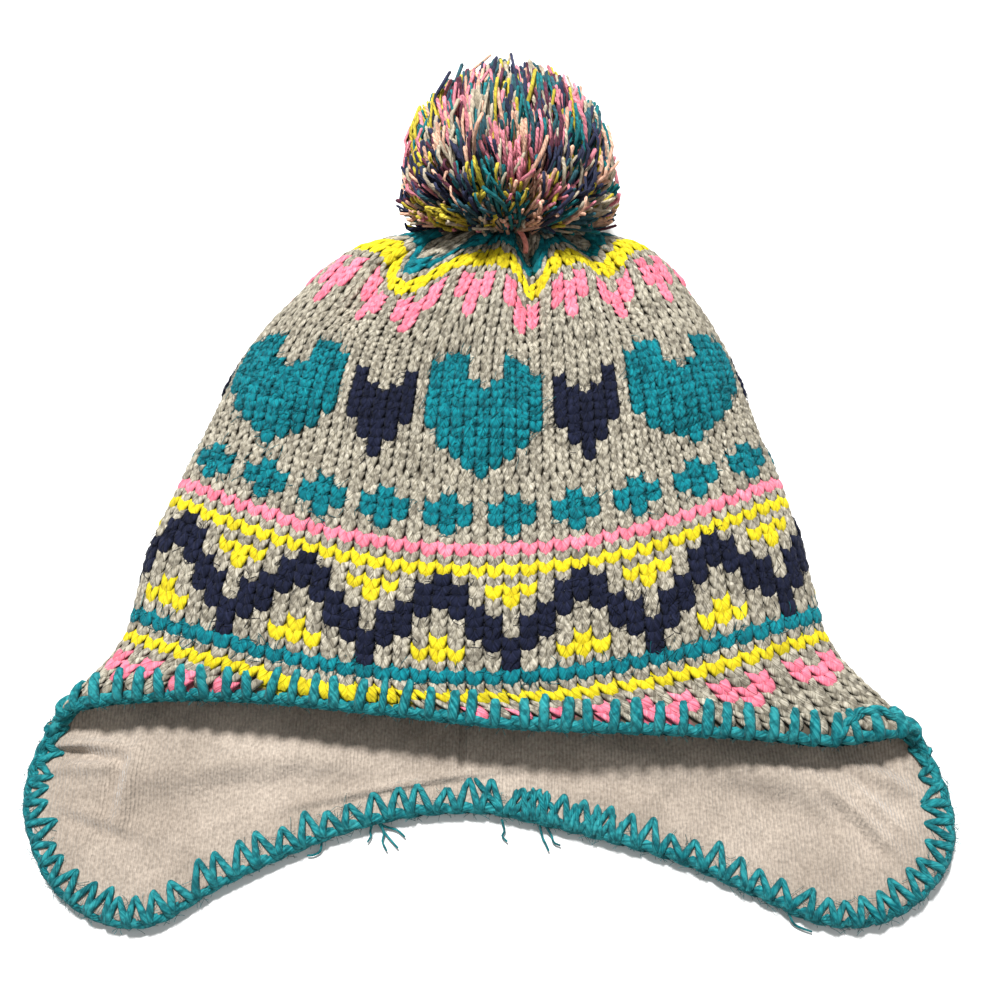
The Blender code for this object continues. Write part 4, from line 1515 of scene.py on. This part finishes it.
            # Painted light: the loose fibres get a lighter tone than the rope, standing for the light that thin
            # fibres catch.
            tone = np.clip((1.0 if name == "edging_fuzz" else 0.80) + around, 0.0, 1.0)
            thing = mesh_from_arrays(name, vertices, faces, self.material, uvs, {"tone": tone})
            register(thing, "edging")


class PompomBuilder:
    """Makes the pompom's strands, its core and its tie."""

    POINTS = 6
    SIDES = 4

    def __init__(self, surface: HatSurface, makers: MaterialMaker) -> None:
        """Work out where the pompom stands."""
        self.surface = surface
        self.makers = makers
        self.sizes = PompomSizes()
        tip = surface.section_points(0.0, np.arange(0.0, 360.0, 10.0)).mean(axis=0)
        lean = self.sizes.lean
        self.axis = np.array([0.0, math.cos(lean), math.sin(lean)])
        self.tip = tip
        self.middle = tip + self.axis * self.sizes.stand + np.array([self.sizes.offset_x, 0.0, 0.0])
        self.rng = np.random.default_rng(3)

    def _crown_y(self) -> float:
        """Farthest reach of the crown along +Y."""
        angles = np.arange(0.0, 360.0, 10.0)
        return max(self.surface.section_points(k, angles)[:, 1].max() for k in (0.0, 0.03, 0.06, 0.1))

    def build(self) -> None:
        """Make the strands, the core painted dark as the shade inside the pompom, and the tie."""
        finish = YarnFinish("yarn_pompom", (0.3, 0.3, 0.3), (0.8, 0.8, 0.8), (0.1, 0.1, 0.1),
                            0.7, 2.0, 3.2 * MM, 0.05, 0.8)
        material = self.makers.yarn(finish, "strand_colour")
        paths, colours, tone = self._strands()
        half = len(paths) // 2
        for name, part in (("pompom_strands_a", slice(0, half)), ("pompom_strands_b", slice(half, None))):
            chosen = paths[part]
            count = len(chosen)
            thick = self.sizes.strand_radius * np.array([0.9, 0.95, 1.0, 1.0, 1.05, 1.0])
            radii = thick[None, :] * self.rng.uniform(0.75, 1.25, count)[:, None]
            up = np.broadcast_to(np.array([0.31, 0.22, 0.92]), chosen.shape)
            vertices, faces, uvs = sweep(chosen, radii, self.SIDES, up)
            faces, vertices, uvs = self._capped(vertices, uvs, count)
            vertices[:, 2] = np.maximum(vertices[:, 2], 0.0)
            per = len(vertices) // count
            # Painted shade: each strand's tone falls from 1.0 at its tip to 0.30 at its root, in the pompom's
            # shaded middle.
            rise = np.repeat(np.linspace(0.30, 1.0, self.POINTS + 1), self.SIDES)
            values = {
                "tone": np.clip(tone[part][:, None] * rise[None, :], 0.0, 1.0).ravel(),
                "strand_colour": np.repeat(colours[part], per, axis=0),
            }
            thing = mesh_from_arrays(name, vertices, faces, material, uvs, values)
            register(thing, "pompom")
        self._core()
        self._tie()

    def _strands(self) -> tuple:
        """Paths, colours and tones of the strands, which fan out from the tie."""
        size, rng = self.sizes, self.rng
        count = size.strands
        index = np.arange(count) + 0.5
        polar = np.arccos(1.0 - 2.0 * index / count)
        around = math.pi * (1.0 + math.sqrt(5.0)) * index
        ways = np.stack([np.sin(polar) * np.cos(around), np.sin(polar) * np.sin(around), np.cos(polar)], axis=1)
        ways = unit(ways + rng.normal(0.0, 0.05, ways.shape))
        tufts = unit(rng.normal(size=(size.tufts, 3)))
        nearest = np.argmax(ways @ tufts.T, axis=1)
        ways = unit(ways + 0.36 * tufts[nearest])
        towards = np.degrees(np.arccos(np.clip(ways @ -self.axis, -1.0, 1.0)))
        reach = np.interp(towards, (0, 16, 26, 40, 56, 75, 180), (0.35, 0.45, 0.62, 0.82, 0.95, 1.0, 1.0))
        low_side = smooth_bump((towards - 62.0) / 34.0) * np.abs(ways[:, 0])
        reach = reach + 0.17 * low_side
        layer = rng.uniform(0.84, 1.04, count) + np.where(rng.uniform(size=count) < 0.012, 0.09, 0.0)
        middle = self.middle + np.array(size.shift)
        root = middle - self.axis * size.root * size.reach
        ends = middle + ways * (size.reach * reach * layer)[:, None]
        chord = ends - root
        length = np.linalg.norm(chord, axis=1)
        side = ways - np.sum(ways * self.axis, axis=1, keepdims=True) * self.axis
        side = unit(side + rng.normal(0.0, 0.10, side.shape))
        share = np.linspace(0.16, 1.0, self.POINTS)
        bow = size.bulge * length * np.clip(1.0 + 0.4 * rng.normal(size=count), 0.2, 1.5)
        across = unit(np.cross(chord, unit(rng.normal(size=chord.shape))))
        sway = 1.5 * MM * np.clip(rng.normal(size=count), -1.8, 1.8)
        paths = root + chord[:, None, :] * share[None, :, None]
        paths = paths + side[:, None, :] * (bow[:, None] * 4.0 * share * (1.0 - share))[..., None]
        paths = paths + across[:, None, :] * (sway[:, None] * np.sin(share * 4.5))[..., None]
        crown = self._crown_y() + 1.0 * MM
        low = paths[..., 2] < self.surface.sizes.laid_height + 0.6 * MM
        paths[..., 1] = np.where(low, np.maximum(paths[..., 1], crown), paths[..., 1])
        paths[..., 2] = np.maximum(paths[..., 2], 0.7 * MM)
        weights = np.array([weight for _, weight in POMPOM_COLOURS])
        weights = weights / weights.sum()
        chosen = rng.choice(len(POMPOM_COLOURS), size=count, p=weights)
        shared = rng.choice(len(POMPOM_COLOURS), size=size.tufts, p=weights)[nearest]
        chosen = np.where(rng.uniform(size=count) < 0.64, shared, chosen)
        colours = np.array([colour for colour, _ in POMPOM_COLOURS])[chosen]
        tone = np.clip(0.88 + 0.16 * rng.normal(size=count), 0.3, 1.1)
        order = rng.permutation(count)
        return paths[order], colours[order], tone[order]

    def _capped(self, vertices: np.ndarray, uvs: np.ndarray, count: int) -> tuple:
        """Close each strand's cut end with a small dome."""
        sides = self.SIDES
        rows = vertices.reshape(count, self.POINTS * sides, 3)
        last = rows[:, -sides:, :]
        before = rows[:, -2 * sides:-sides, :]
        middle = last.mean(axis=1, keepdims=True)
        out = unit(middle - before.mean(axis=1, keepdims=True))
        dome = middle + (last - middle) * 0.12 + out * 0.45 * MM
        grown = np.concatenate([rows, dome], axis=1).reshape(-1, 3)
        map_rows = uvs.reshape(count, self.POINTS * sides, 2)
        map_last = map_rows[:, -sides:, :] + np.array([0.0006, 0.0])
        grown_map = np.concatenate([map_rows, map_last], axis=1).reshape(-1, 2)
        return tube_faces(self.POINTS + 1, sides, count), grown, grown_map

    def _core(self) -> None:
        """Make the ball of tied yarn inside the strands, painted near-black as the shade deep in the pompom."""
        bpy.ops.object.select_all(action="DESELECT")
        bpy.ops.mesh.primitive_uv_sphere_add(segments=48, ring_count=32, radius=self.sizes.core * 0.97)
        core = bpy.context.object
        core.name = "pompom_core"
        for vertex in core.data.vertices:
            ripple = 1.0 + 0.03 * math.sin(vertex.co.x * 900.0) * math.sin(vertex.co.y * 800.0)
            vertex.co = vertex.co * ripple + Vector(self.middle)
        bpy.ops.object.shade_smooth()
        # Painted shade: the core's near-black colour stands for the shade between the strands.
        finish = YarnFinish("pompom_core_painted_shade", (0.05, 0.05, 0.07), (0.12, 0.10, 0.12), (0.02, 0.02, 0.03),
                            0.4, 2.0, 4.0 * MM, 0.3, 0.9)
        core.data.uv_layers[0].name = "yarn"
        core.data.materials.append(self.makers.yarn(finish))
        register(core, "pompom")

    def _tie(self) -> None:
        """Wind the tie's yarn between the crown's tip and the pompom."""
        turns = 3.2
        count = 64
        share = np.linspace(0.0, 1.0, count)
        turn = share * turns * 2.0 * math.pi
        side = np.array([1.0, 0.0, 0.0])
        upward = np.cross(side, self.axis)
        out = (2.7 + 0.2 * np.sin(turn * 0.7)) * MM
        along = (1.9 + 2.4 * share) * MM
        path = self.tip + self.axis * along[:, None]
        path = path + side * (np.cos(turn) * out)[:, None] + upward * (np.sin(turn) * out)[:, None]
        tail_share = np.linspace(0.0, 1.0, count)
        tail = np.array([[0.002, 0.0800, 0.0300], [0.0035, 0.0795, 0.0318], [0.0065, 0.0765, 0.0318],
                         [0.0080, 0.0725, 0.0312], [0.0078, 0.0700, 0.0306]])
        at = np.linspace(0.0, 1.0, len(tail))
        tail = np.stack([through_rows(at, tail[:, k], tail_share) for k in range(3)], axis=1)
        paths = np.array([path, tail])
        radii = np.full((2, count), 0.85 * MM)
        up = np.broadcast_to(np.array([0.1, -0.3, 1.0]), paths.shape)
        vertices, faces, uvs = sweep(paths, radii, 8, up)
        finish = YarnFinish("yarn_tie", (0.86, 0.28, 0.22), (1.0, 0.5, 0.4), (0.5, 0.12, 0.1),
                            0.4, 2.0, 3.6 * MM, 0.3, 0.78)
        thing = mesh_from_arrays("tie_yarn", vertices, faces, self.makers.yarn(finish), uvs,
                                 {"tone": np.full(len(vertices), 0.8)})
        register(thing, "pompom_tie")


class Studio:
    """Makes the floor, the lights, the world and the camera."""

    ELEVATION = 67.0
    DISTANCE = 0.325
    LENS = 37.8

    def build(self, makers: MaterialMaker) -> None:
        """Make the whole studio."""
        bpy.ops.object.select_all(action="DESELECT")
        bpy.ops.mesh.primitive_plane_add(size=6.0, location=(0.0, 0.0, -0.0003))
        floor = bpy.context.object
        floor.name = "studio_floor"
        floor.data.materials.append(makers.floor())
        self._light("key_light", (-0.14, 0.44, 0.98), 0.18, 22.0)
        self._light("fill_light", (0.75, -0.25, 0.85), 0.9, 1.6)
        self._light("front_light", (-0.5, -0.8, 0.75), 0.9, 0.3)
        world = bpy.data.worlds.new("studio_world")
        world.use_nodes = True
        world.node_tree.nodes["Background"].inputs["Color"].default_value = (1.0, 1.0, 1.0, 1.0)
        world.node_tree.nodes["Background"].inputs["Strength"].default_value = 0.33
        bpy.context.scene.world = world
        scene = bpy.context.scene
        scene.view_settings.view_transform = "Standard"
        camera_data = bpy.data.cameras.new("camera")
        camera = bpy.data.objects.new("camera", camera_data)
        scene.collection.objects.link(camera)
        rise = math.radians(self.ELEVATION)
        place = Vector((0.0, -math.cos(rise), math.sin(rise))) * self.DISTANCE
        camera.location = place
        camera.rotation_euler = (-place).to_track_quat("-Z", "Y").to_euler()
        camera_data.lens = self.LENS
        camera_data.sensor_width = 36.0
        camera_data.clip_start = 0.01
        scene.camera = camera

    @staticmethod
    def _light(name: str, place: tuple, size: float, power: float) -> None:
        """Add a soft area light that looks at the hat."""
        data = bpy.data.lights.new(name, "AREA")
        data.shape = "DISK"
        data.size = size
        data.energy = power
        light = bpy.data.objects.new(name, data)
        bpy.context.scene.collection.objects.link(light)
        light.location = place
        light.rotation_euler = (-Vector(place)).to_track_quat("-Z", "Y").to_euler()


def main() -> None:
    """Build every visible piece."""
    bpy.ops.object.select_all(action="DESELECT")
    surface = HatSurface(HatSizes())
    makers = MaterialMaker()
    field = KnitField(surface)
    knit = KnitBuilder(field, makers)
    knit_skin = knit.build_wall()
    knit.build_stitches()
    knit.build_fuzz()
    lining_skin = LiningBuilder(surface, makers).build()
    EdgingBuilder(surface, makers, knit_skin, lining_skin).build()
    PompomBuilder(surface, makers).build()
    Studio().build(makers)


if __name__ == "__main__":
    main()
